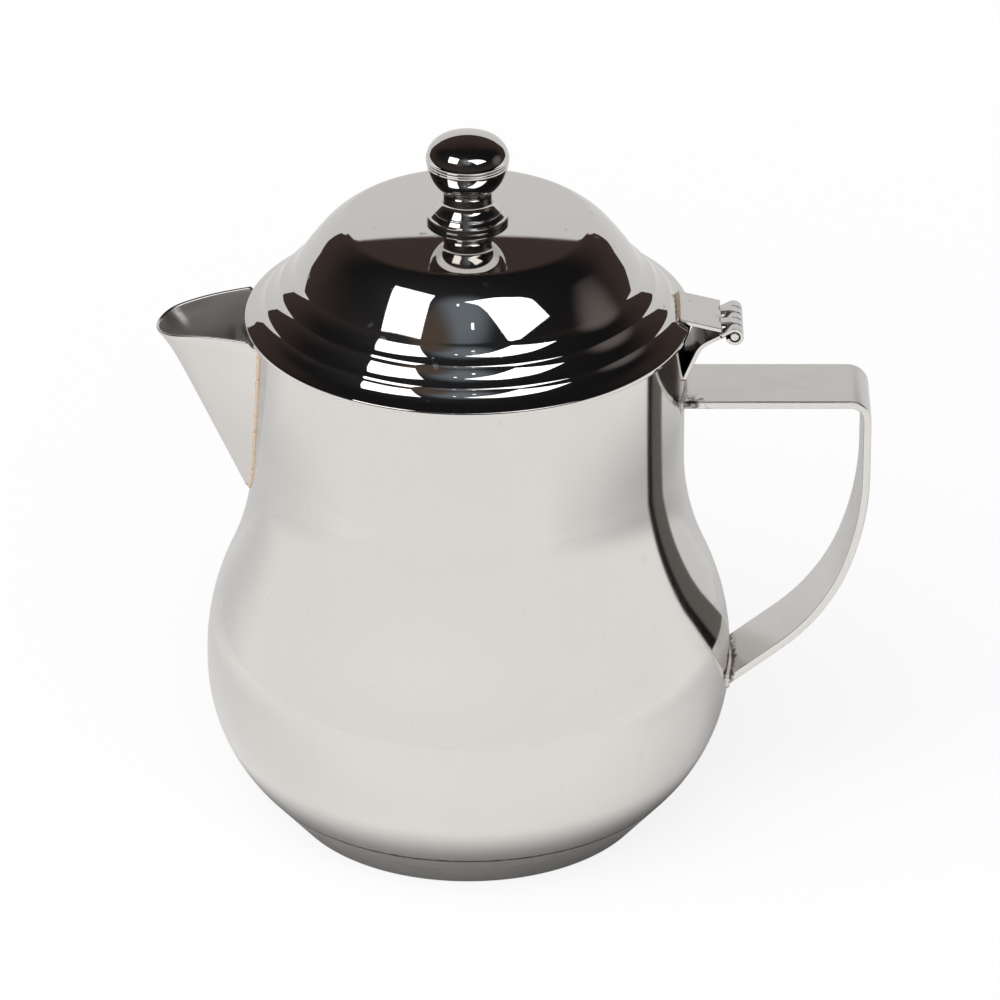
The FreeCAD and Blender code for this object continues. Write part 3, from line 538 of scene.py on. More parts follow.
def spout_section(share_round, height, inset):
    """The trough at some heights. share_round runs 0 to 1 from the pot along one side, 1 to 2 round the nose,
    2 to 3 back along the other side. The nose circle and the V's angle change evenly with height, and a side
    runs along its straight until its distance from the axis is the pot's radius."""
    share = (height - SPOUT_FOOT) / SPOUT_LENGTH
    nose = NOSE_LOW + NOSE_GROWTH * share
    flare = np.radians(FLARE_LOW - FLARE_LOSS * share)
    below = np.clip(1 - share, 0, 1)
    hollow = KEEL_HOLLOW * (1 - np.exp(-below / 0.08)) * (1 - 0.6 * below)
    reach = SPOUT_REACH - SPOUT_LENGTH * (1 - share) * np.tan(np.radians(KEEL_LEAN)) - hollow
    radius = nose - inset
    side = np.where(share_round < 1.5, -1.0, 1.0)
    turn_x = nose - reach - radius * np.sin(flare)
    turn_y = radius * np.cos(flare)
    skin = skin_radius(height) + WELD_GAP
    middle = turn_x * np.cos(flare) + turn_y * np.sin(flare)
    spare = turn_x**2 + turn_y**2 - skin**2
    length = -middle - np.sqrt(np.maximum(middle**2 - spare, 0))
    back = length * np.clip(np.abs(share_round - 1.5) - 0.5, 0, 1)
    swing = (np.pi / 2 - flare) * np.clip(2 * np.abs(share_round - 1.5), 0, 1)
    on_side = np.abs(share_round - 1.5) >= 0.5
    x = np.where(on_side, turn_x + back * np.cos(flare), nose - reach - radius * np.cos(swing))
    y = np.where(on_side, turn_y + back * np.sin(flare), radius * np.sin(swing))
    return x, side * y


def lip_height(x, y):
    """The cut of the lip: highest beside the lid, lower at the tip, and dipped where the brim lies over it."""
    out = np.clip((-x - NECK) / (SPOUT_REACH - NECK), 0, 1)
    under_lid = np.clip((LID_ROOM - np.hypot(x, y)) / 0.35, 0, 1)
    return LIP_HIGH - LIP_DROP * out**2.5 - LIP_DIP * under_lid


def spout_skin(share_round, share_up, inset, floor, below_lip):
    """Points of one skin at the height floor + share (lip - floor). The lip is asked again at each new place."""
    height = floor + share_up * (122 - floor)
    for _ in range(6):
        x, y = spout_section(share_round, height, inset)
        height = floor + share_up * (lip_height(x, y) - below_lip - floor)
    x, y = spout_section(share_round, height, inset)
    return np.stack([x, y, height + 0 * x], axis=2)


sides = [np.linspace(0, 1, 30)[:-1], np.linspace(1, 2, 33), np.linspace(2, 3, 30)[1:]]
share_round = np.concatenate(sides)[None, :]
up = np.linspace(0, 1, SPOUT_ROWS)[:, None]
lip_turn = np.radians(np.linspace(0, 180, 9))[1:-1]
half_wall = SPOUT_WALL / 2
lip_deep, lip_down = half_wall * (1 - np.cos(lip_turn)), half_wall * (1 - np.sin(lip_turn))
top = np.ones((1, 1))
outer_skin = spout_skin(share_round, up, 0, SPOUT_FOOT, half_wall)
lip_rows = [spout_skin(share_round, top, deep, SPOUT_FOOT, down) for deep, down in zip(lip_deep, lip_down)]
inner_skin = spout_skin(share_round, up[::-1], SPOUT_WALL, SPOUT_FLOOR, half_wall)
spout_points = np.concatenate([outer_skin] + lip_rows + [inner_skin])
spout_inside = np.concatenate([np.zeros(SPOUT_ROWS), np.linspace(0, 0.4, 7), np.ones(SPOUT_ROWS)])[:, None]
near_neck = np.minimum(share_round, 3 - share_round)
spout_heat = 0.55 * bell(near_neck, 0.035)
make_piece(
    "spout_trough", [grid(spout_points, True, False, inside=spout_inside, burnt=spout_heat)],
    "pot", "spout", spout_polish, close=True,
)

# %% [markdown]
# Each weld is a thin bead where two sheets meet: a tube, which is a small circle carried along a path and squared
# up to the path's direction. Its thickness is slightly uneven, as in a hand-run weld, and it is marked burnt, so
# the heat tint turns it straw and brown. The mark isn't called heat, because Cycles keeps that name for smoke.

# %% Weld beads
BEAD_SIDES = 10


def bead(path, radius, heat, seed, closed=False):
    """A tube round a path of points: each ring is radius (cos a U + sin a V), with U and V square to the path.
    The radius swells and shrinks with a few added waves."""
    step = np.roll(path, -1, 0) - np.roll(path, 1, 0)
    if not closed:
        step[0], step[-1] = path[1] - path[0], path[-1] - path[-2]
    step /= np.linalg.norm(step, axis=1)[:, None]
    aside = np.cross(step, np.where(abs(step[:, 2:]) > 0.9, [[1.0, 0, 0]], [[0, 0, 1.0]]))
    aside /= np.linalg.norm(aside, axis=1)[:, None]
    upward = np.cross(aside, step)
    chance = np.random.default_rng(seed)
    count = np.arange(len(path))[:, None] / len(path) * AROUND
    waves = np.array([5, 11, 17, 29])
    swell = 1 + 0.09 * np.sin(count * waves + chance.uniform(0, 6, 4)).sum(axis=1)
    if not closed:
        swell[[0, -1]] *= 0.3
    angle = full_turn(BEAD_SIDES)[None, :, None]
    ring = np.cos(angle) * aside[:, None] + np.sin(angle) * upward[:, None]
    points = path[:, None] + radius * swell[:, None, None] * ring
    burn = np.clip(heat + 0.07 * np.sin(count * np.array([7, 23]) + chance.uniform(0, 6, 2)).sum(axis=1), 0, 1)
    return grid(points, closed, True, burnt=burn[:, None])


spout_edge = spout_skin(np.array([[0.0, 3.0]]), np.linspace(0, 1, 90)[:, None], 0, SPOUT_FOOT, 0.2)
spout_edge += np.sign(spout_edge) * np.array([0, 0.2, 0])
spout_beads = [bead(spout_edge[:, side], 0.5, 0.52, side + 1) for side in (0, 1)]
make_piece("spout_weld", spout_beads, "pot", None, weld_metal, close=True)

# %% [markdown]
# The handle is one steel strip, 19.6 mm wide and 1.8 mm thick: straight out from the neck, over a tight bend,
# down, and back to the belly in two arcs. Its outer face is a line in the side view. A section with rounded edges
# is carried along it, and the points of each end slide along the strip until they meet the pot's radius.

# %% A strip along a line
def strip_section(thickness, low, high, edge):
    """A rounded rectangle (place across, depth): low to high across, nought to thickness deep."""
    sides = route((low, 0), ((high, 0), 24), ((high, thickness), 3), ((low, thickness), 24), ((low, 0), 3))
    return chain(sides, [edge] * 4, closed=True)


def strip_rows(line, section):
    """A flat bar: the section is carried along the side-view line, its depth to the right of the way.
    Point = line + depth (normal) in the side view, and its own place across."""
    way = np.gradient(line, axis=0)
    way /= np.hypot(*way.T)[:, None]
    normal = np.stack([way[:, 1], -way[:, 0]], axis=1)
    flat = line[:, None] + normal[:, None] * section[None, :, 1:]
    across = np.broadcast_to(section[None, :, 0], flat.shape[:2])
    return np.stack([flat[..., 0], across, flat[..., 1]], axis=2)


def meet_pot(points, way):
    """Slides points along a side-view direction until their distance from the axis is the pot's radius at their
    height: a few steps of the secant rule on the difference."""
    way = np.array([way[0], 0, way[1]])

    def gap(shift):
        place = points + shift[:, None] * way
        return np.hypot(place[:, 0], place[:, 1]) - skin_radius(place[:, 2]) - WELD_GAP

    before, now = np.zeros(len(points)), np.full(len(points), 0.5)
    for _ in range(30):
        rise = gap(now) - gap(before)
        step = np.where(abs(rise) > 1e-12, gap(now) * (now - before) / np.where(rise == 0, 1, rise), 0)
        before, now = now, now - step
    return points + now[:, None] * way


# %% The handle
HANDLE_HALF, HANDLE_THICK = 9.8, 1.8
HANDLE_TOP, HANDLE_REACH, HANDLE_BEND = 107.7, 91.85, 5.0
SWEEP_FROM, SWEEP_ARC, SWEEP_TURN = 89.0, 70.0, 20
CURL_ARC, CURL_TURN = 48.0, 52


def turned(degrees):
    """The direction that points to +X turned down by an angle in the side view."""
    return np.array([np.cos(np.radians(degrees)), -np.sin(np.radians(degrees))])


bend_start = np.array([HANDLE_REACH - HANDLE_BEND, HANDLE_TOP])
bend_end = np.array([HANDLE_REACH, HANDLE_TOP - HANDLE_BEND])
sweep_start = np.array([HANDLE_REACH, SWEEP_FROM])
sweep_end = sweep_start + SWEEP_ARC * (turned(SWEEP_TURN) - turned(0))
curl_end = sweep_end + CURL_ARC * (turned(CURL_TURN) - turned(SWEEP_TURN))
tail_way = turned(90 + CURL_TURN)
handle_runs = route(
    (55, HANDLE_TOP), (bend_start, 30), (bend_end, 20, -HANDLE_BEND), (sweep_start, 14),
    (sweep_end, 26, -SWEEP_ARC), (curl_end, 40, -CURL_ARC), (curl_end + 3 * tail_way, 4),
)
handle_line = chain(handle_runs, [0] * 5)
handle_points = strip_rows(handle_line, strip_section(HANDLE_THICK, -HANDLE_HALF, HANDLE_HALF, 0.4))
top_end = meet_pot(handle_points[0], (-1, 0))
tail_end = meet_pot(handle_points[-1], tail_way)
lead = np.linspace(0, 1, 12)[:-1, None, None]
handle_points = np.concatenate([
    (1 - lead) * top_end + lead * handle_points[0],
    handle_points,
    lead[::-1] * handle_points[-1] + (1 - lead[::-1]) * tail_end,
])
from_top = np.linalg.norm(handle_points - top_end, axis=2)
from_tail = np.linalg.norm(handle_points - tail_end, axis=2)
handle_heat = 0.2 * bell(from_top, 1.6) + 0.25 * bell(from_tail, 2.2)
# Darker near the top weld, most on the near half, and at the lower weld.
near_corner = bell(from_top, 9.0) * np.clip((2 - handle_points[..., 1]) / 12, 0, 1)
handle_darkening = np.maximum(0.62 * near_corner, 0.8 * bell(from_tail, 2.6))
make_piece(
    "handle_strip", [grid(handle_points, False, True, burnt=handle_heat, grime=handle_darkening)],
    "pot", "handle", handle_satin, close=True, even=True,
)
handle_beads = [bead(top_end, 0.5, 0.2, 5, closed=True), bead(tail_end, 0.6, 0.2, 6, closed=True)]
make_piece("handle_weld", handle_beads, "pot", None, weld_metal)

# %% [markdown]
# The lid is pressed and spun: a narrow sloping ledge at the brim, two hollow rings like softened steps, a dome,
# and an almost flat crown with a rounded crest round it. The lower skin runs one wall further in, so each arc
# there has the same centre and a radius one wall larger or smaller. The rings' edges are rounded a little,
# because a mirror finish shows every sharp corner as a hard line.

# %% The lid's upper line
LID_WALL = 0.8
BRIM, BRIM_LOW, BRIM_HIGH = 50.8, 124.4, 125.5
LEDGE, LEDGE_SLOPE = 1.9, 27
RING_STEP, RING_HOLLOW, RINGS = np.array([3.5, -3.85]), 10.0, 2
DOME_FOOT = np.array([39.1, 137.0])
CREST_CENTRE, CREST_ARC = np.array([27.2, 145.2]), 3.5
SHOULDER_ARC = 18.6
CROWN_SLOPE, CREST_SLOPE, DOME_SLOPE = 3, 30, 50
KNOB_SEAT, KNOB_HOLE = 9.5, 2.3


def square_to(slope):
    """The upward normal of a face that falls outwards by a slope in degrees: (sin, cos)."""
    return np.array([np.sin(np.radians(slope)), np.cos(np.radians(slope))])


def touching(start, end, normal):
    """The radius of the arc that leaves start square to a normal and reaches end: d.d / (2 d.n)."""
    across = end - start
    return across @ across / (2 * across @ normal)


crest_in = CREST_CENTRE + CREST_ARC * square_to(CROWN_SLOPE)
crest_out = CREST_CENTRE + CREST_ARC * square_to(CREST_SLOPE)
dome_top = crest_out + SHOULDER_ARC * (square_to(DOME_SLOPE) - square_to(CREST_SLOPE))
dome_arc = touching(dome_top, DOME_FOOT, -square_to(DOME_SLOPE))
crown_arc = crest_in[0] / square_to(CROWN_SLOPE)[0]
crown_low = crest_in[1] - crown_arc * square_to(CROWN_SLOPE)[1]
FOOT = crown_low + np.sqrt(crown_arc**2 - KNOB_SEAT**2)
ring = [DOME_FOOT + step * RING_STEP for step in range(RINGS + 1)]
ledge = np.array([BRIM - LEDGE, BRIM_HIGH + LEDGE * np.tan(np.radians(LEDGE_SLOPE))])
brim_arc = touching(ledge, ring[-1], square_to(LEDGE_SLOPE))
brim_centre = ledge + brim_arc * square_to(LEDGE_SLOPE)
lid_top = route(
    (KNOB_HOLE, FOOT), ((KNOB_SEAT, FOOT), 8), (crest_in, 26, -crown_arc), (crest_out, 14, -CREST_ARC),
    (dome_top, 24, -SHOULDER_ARC), (DOME_FOOT, 24, -dome_arc), *[(edge, 24, RING_HOLLOW) for edge in ring[1:]],
    (ledge, 24, brim_arc), ((BRIM, BRIM_HIGH), 8), ((BRIM, BRIM_LOW), 4),
)
print("knob seat at", round(FOOT, 2), "dome arc", round(dome_arc, 1), "brim cove", round(brim_arc, 2))

# %% The lid's lower line and the lid
dome_centre = dome_top - dome_arc * square_to(DOME_SLOPE)
under_foot = dome_centre + (DOME_FOOT - dome_centre) * (1 - LID_WALL / dome_arc)
ring_normal = np.array([-RING_STEP[1], RING_STEP[0]]) / np.hypot(*RING_STEP)
under_ring = [under_foot, ring[1] - LID_WALL * ring_normal]
under_ring += [brim_centre + (ring[-1] - brim_centre) * (1 + LID_WALL / brim_arc)]
under_ledge = ledge - LID_WALL * square_to(LEDGE_SLOPE)
under_top = dome_top - LID_WALL * square_to(DOME_SLOPE)
under_out = crest_out - LID_WALL * square_to(CREST_SLOPE)
under_in = crest_in - LID_WALL * square_to(CROWN_SLOPE)
under_seat = (np.sqrt((crown_arc - LID_WALL)**2 - (FOOT - LID_WALL - crown_low)**2), FOOT - LID_WALL)
lid_under = route(
    (BRIM, BRIM_LOW), (under_ledge, 6), (under_ring[2], 16, -brim_arc - LID_WALL),
    *[(edge, 14, -RING_HOLLOW - LID_WALL) for edge in under_ring[1::-1]], (under_top, 14, dome_arc - LID_WALL),
    (under_out, 14, SHOULDER_ARC - LID_WALL), (under_in, 8, CREST_ARC - LID_WALL),
    (under_seat, 14, crown_arc - LID_WALL), ((KNOB_HOLE, FOOT - LID_WALL), 5), ((KNOB_HOLE, FOOT), 3),
)
lid_rounding = [0, 0, 0, 0, 0.3, 0.5, 0.5, 0, 0.4, 0.3, 0, 0.3, 0.3, 0, 0, 0, 0, 0, 0.1, 0.1]
lid_line = chain(lid_top + lid_under, lid_rounding, closed=True)
lid_under_from = sum(len(run) for run in lid_top) + 14
lid_inside = (np.arange(len(lid_line)) > lid_under_from).astype(float)[:, None]
lid_grid = spun(lid_line, 256, True, inside=lid_inside)
make_piece("lid_dome", [lid_grid], "lid", "lid_shell", lid_polish)

# %% The lid's collar
COLLAR, COLLAR_IN, COLLAR_LOW = 47.9, 47.2, 117.7


def under_brim(radius):
    """The height of the brim's lower skin at a radius, less the weld's room: the lower part of a circle."""
    return brim_centre[1] - np.sqrt((brim_arc + LID_WALL + WELD_GAP)**2 - (brim_centre[0] - radius)**2)


collar_top = (COLLAR_IN, under_brim(COLLAR_IN))
collar_runs = route(
    collar_top, ((COLLAR_IN, COLLAR_LOW), 10), ((COLLAR, COLLAR_LOW), 10),
    ((COLLAR, under_brim(COLLAR)), 10), (collar_top, 10),
)
collar_line = chain(collar_runs, [0.2, 0.2, 0.1, 0.1], closed=True)
make_piece("lid_collar_ring", [spun(collar_line, 192, True)], "lid", "lid_collar", collar_satin)

# %% [markdown]
# The hinge is two strips rolled round one pin. A rolled knuckle is the strip itself, carried on round a circle,
# so both leaves come from the strip helper: a plate over the full width, then five knuckles taking turns, three
# on the pot's leaf and two on the lid's, with a small gap between neighbours.

# %% Hinge leaves and pin
HINGE = np.array([60.5, 123.0])
BARREL, PIN, LEAF = 2.05, 1.0, 1.0
LEAF_HALF = 7.5
KNUCKLE_GAP, KNUCKLE_LAP = 0.3, 0.4
LID_LEAF_SLOPE, LID_LEAF_RISE, LID_LEAF_LENGTH, LID_LEAF_OUT = 14, 1.3, 13.4, 47.75
POT_LEAF_LEAN, POT_LEAF_STEEP, POT_LEAF_LENGTH = 28, 67, 9.5
# Painted shade on the hinge's hidden faces: how dark it makes them.
HINGE_SHADE = 0.85
zones = np.linspace(-LEAF_HALF, LEAF_HALF, 6)


def rolled_line(approach, lean):
    """The outer face of a strip that arrives along approach and rolls over the pin: a circle of the barrel's
    radius, from the touching point at angle 90 - lean, clockwise through 285 degrees."""
    angle = np.radians(90 - lean - np.linspace(0, 285, 46))
    roll = HINGE + BARREL * np.stack([np.cos(angle), np.sin(angle)], axis=1)
    return np.concatenate([shorten(approach, 0, 0.05), roll])


def leaf_grids(approach, lean, mine, notch, shaded_depth):
    """The plate and its knuckles. The plate stops short of the barrel by the notch, and each knuckle strip
    overlaps its end. The face at the shaded depth looks into the corner under the lid and is painted dark as
    shade, and so are a line near the front edge and the knuckles' inner faces."""
    section = strip_section(LEAF, -LEAF_HALF, LEAF_HALF, 0.22)
    # Painted shade on the face that looks into the corner under the lid.
    leaf_shade = HINGE_SHADE * (abs(section[:, 1] - shaded_depth) < 0.1)
    # A painted shade line along the leaf near its front edge.
    leaf_shade = np.maximum(leaf_shade, 0.55 * bell(section[:, 0] + LEAF_HALF - 1.0, 0.5))
    plate = strip_rows(shorten(approach, 0, notch), section)
    burn = 0.35 * bell(np.arange(len(plate)), 2.2)
    made = [grid(plate, False, True, burnt=burn[:, None], grime=leaf_shade[None, :])]
    reach = np.hypot(*np.diff(approach, axis=0).T).sum()
    rolled = rolled_line(shorten(approach, reach - notch - KNUCKLE_LAP, 0), lean)
    for zone in mine:
        low = zones[zone] + (KNUCKLE_GAP / 2 if zone > 0 else 0)
        high = zones[zone + 1] - (KNUCKLE_GAP / 2 if zone < 4 else 0)
        section = strip_section(LEAF, low, high, 0.18)
        # Painted shade on each knuckle's inner face, which wraps the pin.
        dark = HINGE_SHADE * (section[None, :, 1] > 0.7 * LEAF)
        made.append(grid(strip_rows(rolled, section), False, True, grime=dark))
    return made


leaf_up = square_to(LID_LEAF_SLOPE)
leaf_in = np.array([-leaf_up[1], leaf_up[0]])
lid_low = HINGE + LID_LEAF_RISE * leaf_up
lid_high = HINGE + BARREL * leaf_up
lid_leaf_runs = route(
    lid_low + LID_LEAF_LENGTH * leaf_in,
    (lid_low + 3.5 * leaf_in, 16), (lid_high + 1.2 * leaf_in, 5), (lid_high, 3),
)
make_piece(
    "lid_leaf", leaf_grids(chain(lid_leaf_runs, [0.8, 0.6]), LID_LEAF_SLOPE, (1, 3), 3.6, LEAF),
    "lid", "hinge_lid_leaf", hinge_strip, close=True, even=True,
)

weld_across = np.linspace(-LEAF_HALF + 0.3, LEAF_HALF - 0.3, 40)
weld_radius = np.hypot(LID_LEAF_OUT, weld_across)
weld_height = brim_centre[1] - np.sqrt(brim_arc**2 - (brim_centre[0] - weld_radius) ** 2)
leaf_path = np.stack([np.full(40, LID_LEAF_OUT), weld_across, weld_height + 0.15], axis=1)
leaf_bead = bead(leaf_path, 0.5, 0.5, 9)
make_piece("lid_leaf_weld", [leaf_bead], "lid", None, weld_metal, close=True)

pot_touch = HINGE + BARREL * square_to(-POT_LEAF_LEAN)
pot_bend = np.array([52.3, 120.96])
pot_foot = pot_bend - POT_LEAF_LENGTH * turned(-POT_LEAF_STEEP)
pot_leaf_line = chain(route(pot_foot, (pot_bend, 24), (pot_touch, 16)), [2.2])
make_piece(
    "pot_leaf", leaf_grids(pot_leaf_line, -POT_LEAF_LEAN, (0, 2, 4), 2.5, 0.0),
    "pot", "hinge_body_leaf", hinge_strip, close=True, even=True,
)

pin_runs = route((0, -LEAF_HALF), ((PIN, -LEAF_HALF), 6), ((PIN, LEAF_HALF), 20), ((0, LEAF_HALF), 6))
pin_turn = revolve(chain(pin_runs, [0.3, 0.3]), full_turn(40))
pin_points = np.stack([HINGE[0] + pin_turn[..., 0], pin_turn[..., 2], HINGE[1] + pin_turn[..., 1]], axis=2)
make_piece("hinge_rod", [grid(pin_points, False, True)], "pot", "hinge_pin", hinge_strip)

# %% [markdown]
# The knob is turned from solid bar: a flat foot with a fine step, a flare into a narrow waist, a cup that ends in
# a bead, and a ball pressed a little flat. A screw and washer hold it from inside the lid. Heights here count
# from the knob's seat.

# %% The knob and its fastening
SEAT = np.array([0, FOOT])

knob_runs = route(
    (0, 11), ((2.05, 11), 4), ((2.05, 0), 6), ((9.35, 0), 10), ((9.35, 1.25), 5), ((8.4, 1.25), 4),
    ((7.6, 2.06), 8), ((7.2, 2.47), 8, 0.4), ((5.6, 4.1), 10), ((5.6, 7.25), 10), ((9.25, 14.05), 30, 9.3),
    ((9.3, 14.8), 10, 0.7), ((9.388, 15.5), 10, 0.7), ((6.139, 19.545), 26, 5.2), ((0, 20.702), 16, 16.9),
)
knob_line = SEAT + chain(knob_runs, [0.1, 0.1, 0.25, 0.2, 0.12, 0.08, 0.08, 0.9, 0.9, 0.1, 0.06, 0.1, 0])
make_piece("turned_knob", [spun(knob_line, 128)], "lid", "knob", knob_polish)

screw_runs = route((0, -4), ((3.9, -4), 8), ((3.9, -1.6), 6), ((2, -1.6), 4), ((2, 9), 12), ((0, 9), 4))
screw_line = SEAT + chain(screw_runs, [0.7, 0.2, 0.05, 0.3])
make_piece("knob_fixing_screw", [spun(screw_line, 48)], "lid", "knob_screw", fastener)

washer_runs = route((2.3, -1.6), ((6, -1.6), 8), ((6, -0.8), 3), ((2.3, -0.8), 8), ((2.3, -1.6), 3))
washer_line = SEAT + chain(washer_runs, [0.2, 0.15, 0.1, 0.15], closed=True)
make_piece("knob_fixing_washer", [spun(washer_line, 64, True)], "lid", "knob_washer", fastener)

# %% [markdown]
# Polished steel looks like what stands around it: white paper on the table and curled up round the pot, a dark
# room above, and soft boxes left and right of the camera. The paper is low in front, reaches the lid at the sides
# and is high behind, and its edge is the crisp line between white and black on the lid and the knob. Low down the
# paper carries painted shade, darker to the handle's side and behind, which models the neck. One group gives this
# tone and its painted shade to both the table and the curled part.

# %% The curled paper
PAPER_FAR = 0.22
PAPER_EDGE = np.array([
    [0, 128], [60, 128], [115, 150], [130, 153], [138, 185], [146, 246], [153, 266], [165, 268], [180, 270],
])
PAPER_WHITE, WHITE, BLACK = (1.0, 0.99, 0.98, 1), (1, 1, 1, 1), (0, 0, 0, 1)

tree, given, result = new_group("shaded_paper_tone", {"Vector": "Vector"}, {"Tone": "Color"})
x, y, z = parts(tree, given["Vector"])
# Painted shade: darker beyond the handle's side and behind, only low down and only for steep rays; past the pot's
# back a little darker at any height.
beside = maths(tree, "MAXIMUM", maths(tree, "SUBTRACT", x, 0.129))
behind = maths(tree, "MAXIMUM", maths(tree, "ADD", y, 0.1))
shade = maths(tree, "ADD", maths(tree, "MULTIPLY", beside, 3.1), maths(tree, "MULTIPLY", behind, 1.3))
shade = maths(tree, "MULTIPLY", shade, fade(tree, z, -0.005, 0.035, 1.0, 0.0))
steep = parts(tree, source(tree, "NewGeometry", "Incoming"))[2]
shade = maths(tree, "MULTIPLY", shade, fade(tree, steep, 0.28, 0.42))
shade = maths(tree, "MAXIMUM", shade, fade(tree, y, 0.02, 0.13, 0.0, 0.25))
tree.links.new(blend(tree, maths(tree, "MINIMUM", shade, 0.6), PAPER_WHITE, BLACK), result["Tone"])
shaded_paper_tone = tree


def stage_mesh(name, points, faces, mirrored_only=True):
    """A plain mesh round the object with an empty material: returns the material's tree and its surface input."""
    mesh = bpy.data.meshes.new(name)
    mesh.from_pydata(np.asarray(points).tolist(), [], np.asarray(faces).tolist())
    made = bpy.data.objects.new(name, mesh)
    bpy.context.collection.objects.link(made)
    if mirrored_only:
        made.visible_camera = made.visible_diffuse = made.visible_shadow = False
    material = bpy.data.materials.new(name)
    material.use_nodes = True
    tree = material.node_tree
    tree.nodes.clear()
    mesh.materials.append(material)
    print("stage:", name, "faces", len(mesh.polygons))
    return tree, tree.nodes.new("ShaderNodeOutputMaterial").inputs["Surface"]


def first_seen(tree):
    """One for rays that met only polished steel on their way, nought for those from the matt table."""
    return maths(tree, "LESS_THAN", source(tree, "LightPath", "Diffuse Depth"), 0.5)


def paper_wall(name, low, high):
    """A sheet that stands on the paper's ring, between two heights."""
    points = np.concatenate([np.c_[paper_ring, low], np.c_[paper_ring, high]])
    return stage_mesh(name, points, grid_faces(2, len(paper_ring), False, False))


def emit(tree, colour, strength):
    """A plain glow."""
    return node(tree, "Emission", Color=colour, Strength=strength).outputs[0]


def mix_shaders(tree, amount, first, second):
    """The first shader where the amount is nought, the second where it is one."""
    return node(tree, "MixShader", _0=amount, _1=first, _2=second).outputs[0]


paper_angle = np.radians(np.linspace(-180, 180, 361))
paper_top = np.interp(abs(np.degrees(paper_angle)), *PAPER_EDGE.T) * MM
paper_ring = PAPER_FAR * np.stack([np.sin(paper_angle), -np.cos(paper_angle)], axis=1)
tree, surface = paper_wall("curled_paper", 0 * paper_top, paper_top)
tone = use(tree, shaded_paper_tone, Vector=source(tree, "TexCoord", "Object"))["Tone"]
tree.links.new(emit(tree, tone, first_seen(tree)), surface)
print("paper edge from", paper_top.min(), "to", paper_top.max())

# %% [markdown]
# From a low camera the rounded shoulder would look over the low paper into the dark room, so a taller sheet
# stands on the paper's edge for the belly alone. A ray's start is the point it hit plus the way back times the
# ray's length, and the sheet is clear for every ray that starts above the shoulder.

# %% A taller sheet for the belly
TALL_TOP = 0.45
SHOULDER_LOW, SHOULDER_HIGH = 0.085, 0.097

tree, surface = paper_wall("tall_paper", paper_top, 0 * paper_top + TALL_TOP)
hit, back = source(tree, "TexCoord", "Object"), source(tree, "NewGeometry", "Incoming")
rise = maths(tree, "MULTIPLY", parts(tree, back)[2], source(tree, "LightPath", "Ray Length"))
start_height = maths(tree, "ADD", parts(tree, hit)[2], rise)
from_belly = fade(tree, start_height, SHOULDER_LOW, SHOULDER_HIGH, 1.0, 0.0)
sheet, clear = emit(tree, PAPER_WHITE, first_seen(tree)), source(tree, "BsdfTransparent", 0)
tree.links.new(mix_shaders(tree, from_belly, clear, sheet), surface)

# %% [markdown]
# The bright windows on the dome and the knob are soft boxes left and right of the camera, and two small lamps.
# Each is a flat card whose corners are given as directions seen from the pot.

# %% Soft boxes
CENTRE, BOX_FAR, BOX_GLOW = np.array([0, 0, 0.14]), 1.1, 2.4


def toward(azimuth, lift):
    """The direction at an azimuth (0 to the camera, 90 to the handle) and a lift above the table, in degrees."""
    azimuth, lift = np.radians(azimuth), np.radians(lift)
    return np.array([np.cos(lift) * np.sin(azimuth), -np.cos(lift) * np.cos(azimuth), np.sin(lift)])


def soft_box(name, *corners):
    """A glowing card whose corners are seen from the pot in the given directions."""
    points = [CENTRE + BOX_FAR * toward(*corner) for corner in corners]
    tree, surface = stage_mesh(name, points, [range(len(corners))])
    tree.links.new(emit(tree, WHITE, maths(tree, "MULTIPLY", first_seen(tree), BOX_GLOW)), surface)


soft_box("left_soft_box", (-80, 54), (-37, 61), (-33, 36), (-61, 31))
soft_box("right_soft_box", (-3, 57), (30, 60), (52, 52), (63, 36), (30, 34), (17, 49))
soft_box("spot_left", (-10, 52), (-8, 52), (-8, 54), (-10, 54))
soft_box("spot_right", (3, 43), (5, 43), (5, 45.5), (3, 45.5))

# %% [markdown]
# The pot mirrors the shaded inside of its own handle as a dark line down the neck. A flag just inside the strip
# paints that shade: it follows the strip's line, is black along the near edge, and lets rays from the handle
# through.

# %% The painted-shade flag inside the handle
FLAG_DEPTH = HANDLE_THICK + 0.3
flag_section = np.array([[-HANDLE_HALF, FLAG_DEPTH], [0, FLAG_DEPTH], [HANDLE_HALF, FLAG_DEPTH]])
flag_points = strip_rows(handle_line, flag_section)
flag_faces = grid_faces(*flag_points.shape[:2], False, False)
tree, surface = stage_mesh("painted_shade_flag", flag_points.reshape(-1, 3) * MM, flag_faces)
across = parts(tree, source(tree, "TexCoord", "Object"))[1]
# Painted shade: nearly black at the near edge, a faint warm glow further in.
card = emit(tree, (1.0, 0.93, 0.86, 1), fade(tree, across, -0.005, -0.003, 0.012, 0.13))
from_handle, clear = source(tree, "NewGeometry", "Backfacing"), source(tree, "BsdfTransparent", 0)
tree.links.new(mix_shaders(tree, from_handle, card, clear), surface)

# %% [markdown]
# The room itself is the world: nearly black where the steel mirrors it, a little lighter low down and behind,
# with a few faint coloured glows. The matt table sees a broad lamp instead, and the camera sees plain white.

# %% The room
LAMP_WAY = (-0.35, -0.75, 0.56)
ROOM_HIGH, ROOM_LOW = (0.008, 0.0075, 0.008, 1), (0.036, 0.027, 0.023, 1)
ROOM_BEHIND = (0.05, 0.034, 0.029, 1)
GLOWS = [
    (toward(-4, 50), 0.93, (0.15, 0.175, 0.2, 1)),
    (toward(-27, 38), 0.95, (0.075, 0.05, 0.035, 1)),
    (toward(94, 14), 0.92, (0.14, 0.122, 0.115, 1)),
]


def facing(tree, ray, way):
    """One for rays straight along a way, falling with the cosine."""
    return node(tree, "VectorMath", {"operation": "DOT_PRODUCT"}, _0=ray, _1=way).outputs["Value"]


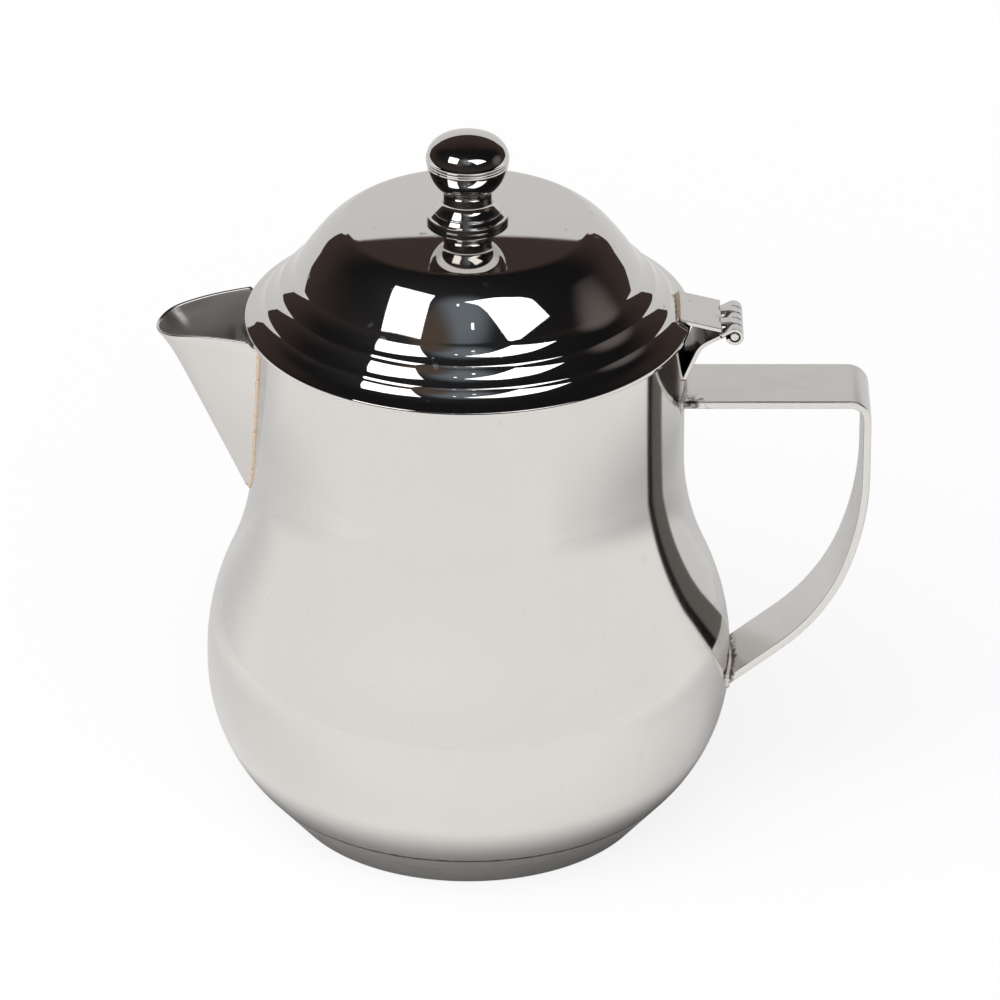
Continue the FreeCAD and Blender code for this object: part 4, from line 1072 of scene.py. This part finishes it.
world = bpy.data.worlds.new("studio")
bpy.context.scene.world = world
world.use_nodes = True
tree = world.node_tree
tree.nodes.clear()
ray = source(tree, "TexCoord", "Generated")
_, y, z = parts(tree, ray)
front = blend(tree, fade(tree, z, 0.1, 0.6, 1.0, 0.0), ROOM_HIGH, ROOM_LOW)
room = blend(tree, fade(tree, y, 0.3, 0.85), front, ROOM_BEHIND)
for way, wide, colour in GLOWS:
    soft = maths(tree, "POWER", fade(tree, facing(tree, ray, way), wide, 1.0), 1.5)
    room = blend(tree, soft, room, colour)
sky = fade(tree, facing(tree, ray, LAMP_WAY), 0.5, 1.0, 0.25, 3.5)
around = blend(tree, source(tree, "LightPath", "Is Glossy Ray"), sky, room)
seen = blend(tree, source(tree, "LightPath", "Is Camera Ray"), around, WHITE)
light = node(tree, "Background", Color=seen, Strength=1.0).outputs[0]
tree.links.new(light, tree.nodes.new("ShaderNodeOutputWorld").inputs["Surface"])
print("world nodes:", len(tree.nodes))

# %% [markdown]
# The table is matt white. In the steel it shows the paper's tone with its painted shade, a painted contact shadow
# close under the pot, and black outside the curled paper, and the camera sees it almost as white as the
# background.

# %% The table
TABLE_WHITE, CAMERA_SHARE = (0.93, 0.93, 0.93, 1), 0.85

tree, surface = stage_mesh("table", [(-4, -4, 0), (4, -4, 0), (4, 4, 0), (-4, 4, 0)], [(0, 1, 2, 3)], False)
place = source(tree, "TexCoord", "Object")
tone = use(tree, shaded_paper_tone, Vector=place)["Tone"]
away = node(tree, "VectorMath", {"operation": "LENGTH"}, _0=place).outputs["Value"]
# A painted contact shadow close under the pot, seen in the steel.
tone = blend(tree, fade(tree, away, 0.046, 0.066, 0.65, 0.0), tone, BLACK)
tone = blend(tree, fade(tree, away, PAPER_FAR, PAPER_FAR + 0.02), tone, BLACK)
colour = blend(tree, source(tree, "LightPath", "Is Glossy Ray"), TABLE_WHITE, tone)
matt = node(tree, "BsdfDiffuse", Color=colour).outputs[0]
shown = maths(tree, "MULTIPLY", source(tree, "LightPath", "Is Camera Ray"), CAMERA_SHARE)
tree.links.new(mix_shaders(tree, shown, matt, emit(tree, WHITE, 1.0)), surface)

# %% [markdown]
# Last, the view settings stay plain.

# %% Finish
bpy.context.scene.view_settings.view_transform = "Standard"
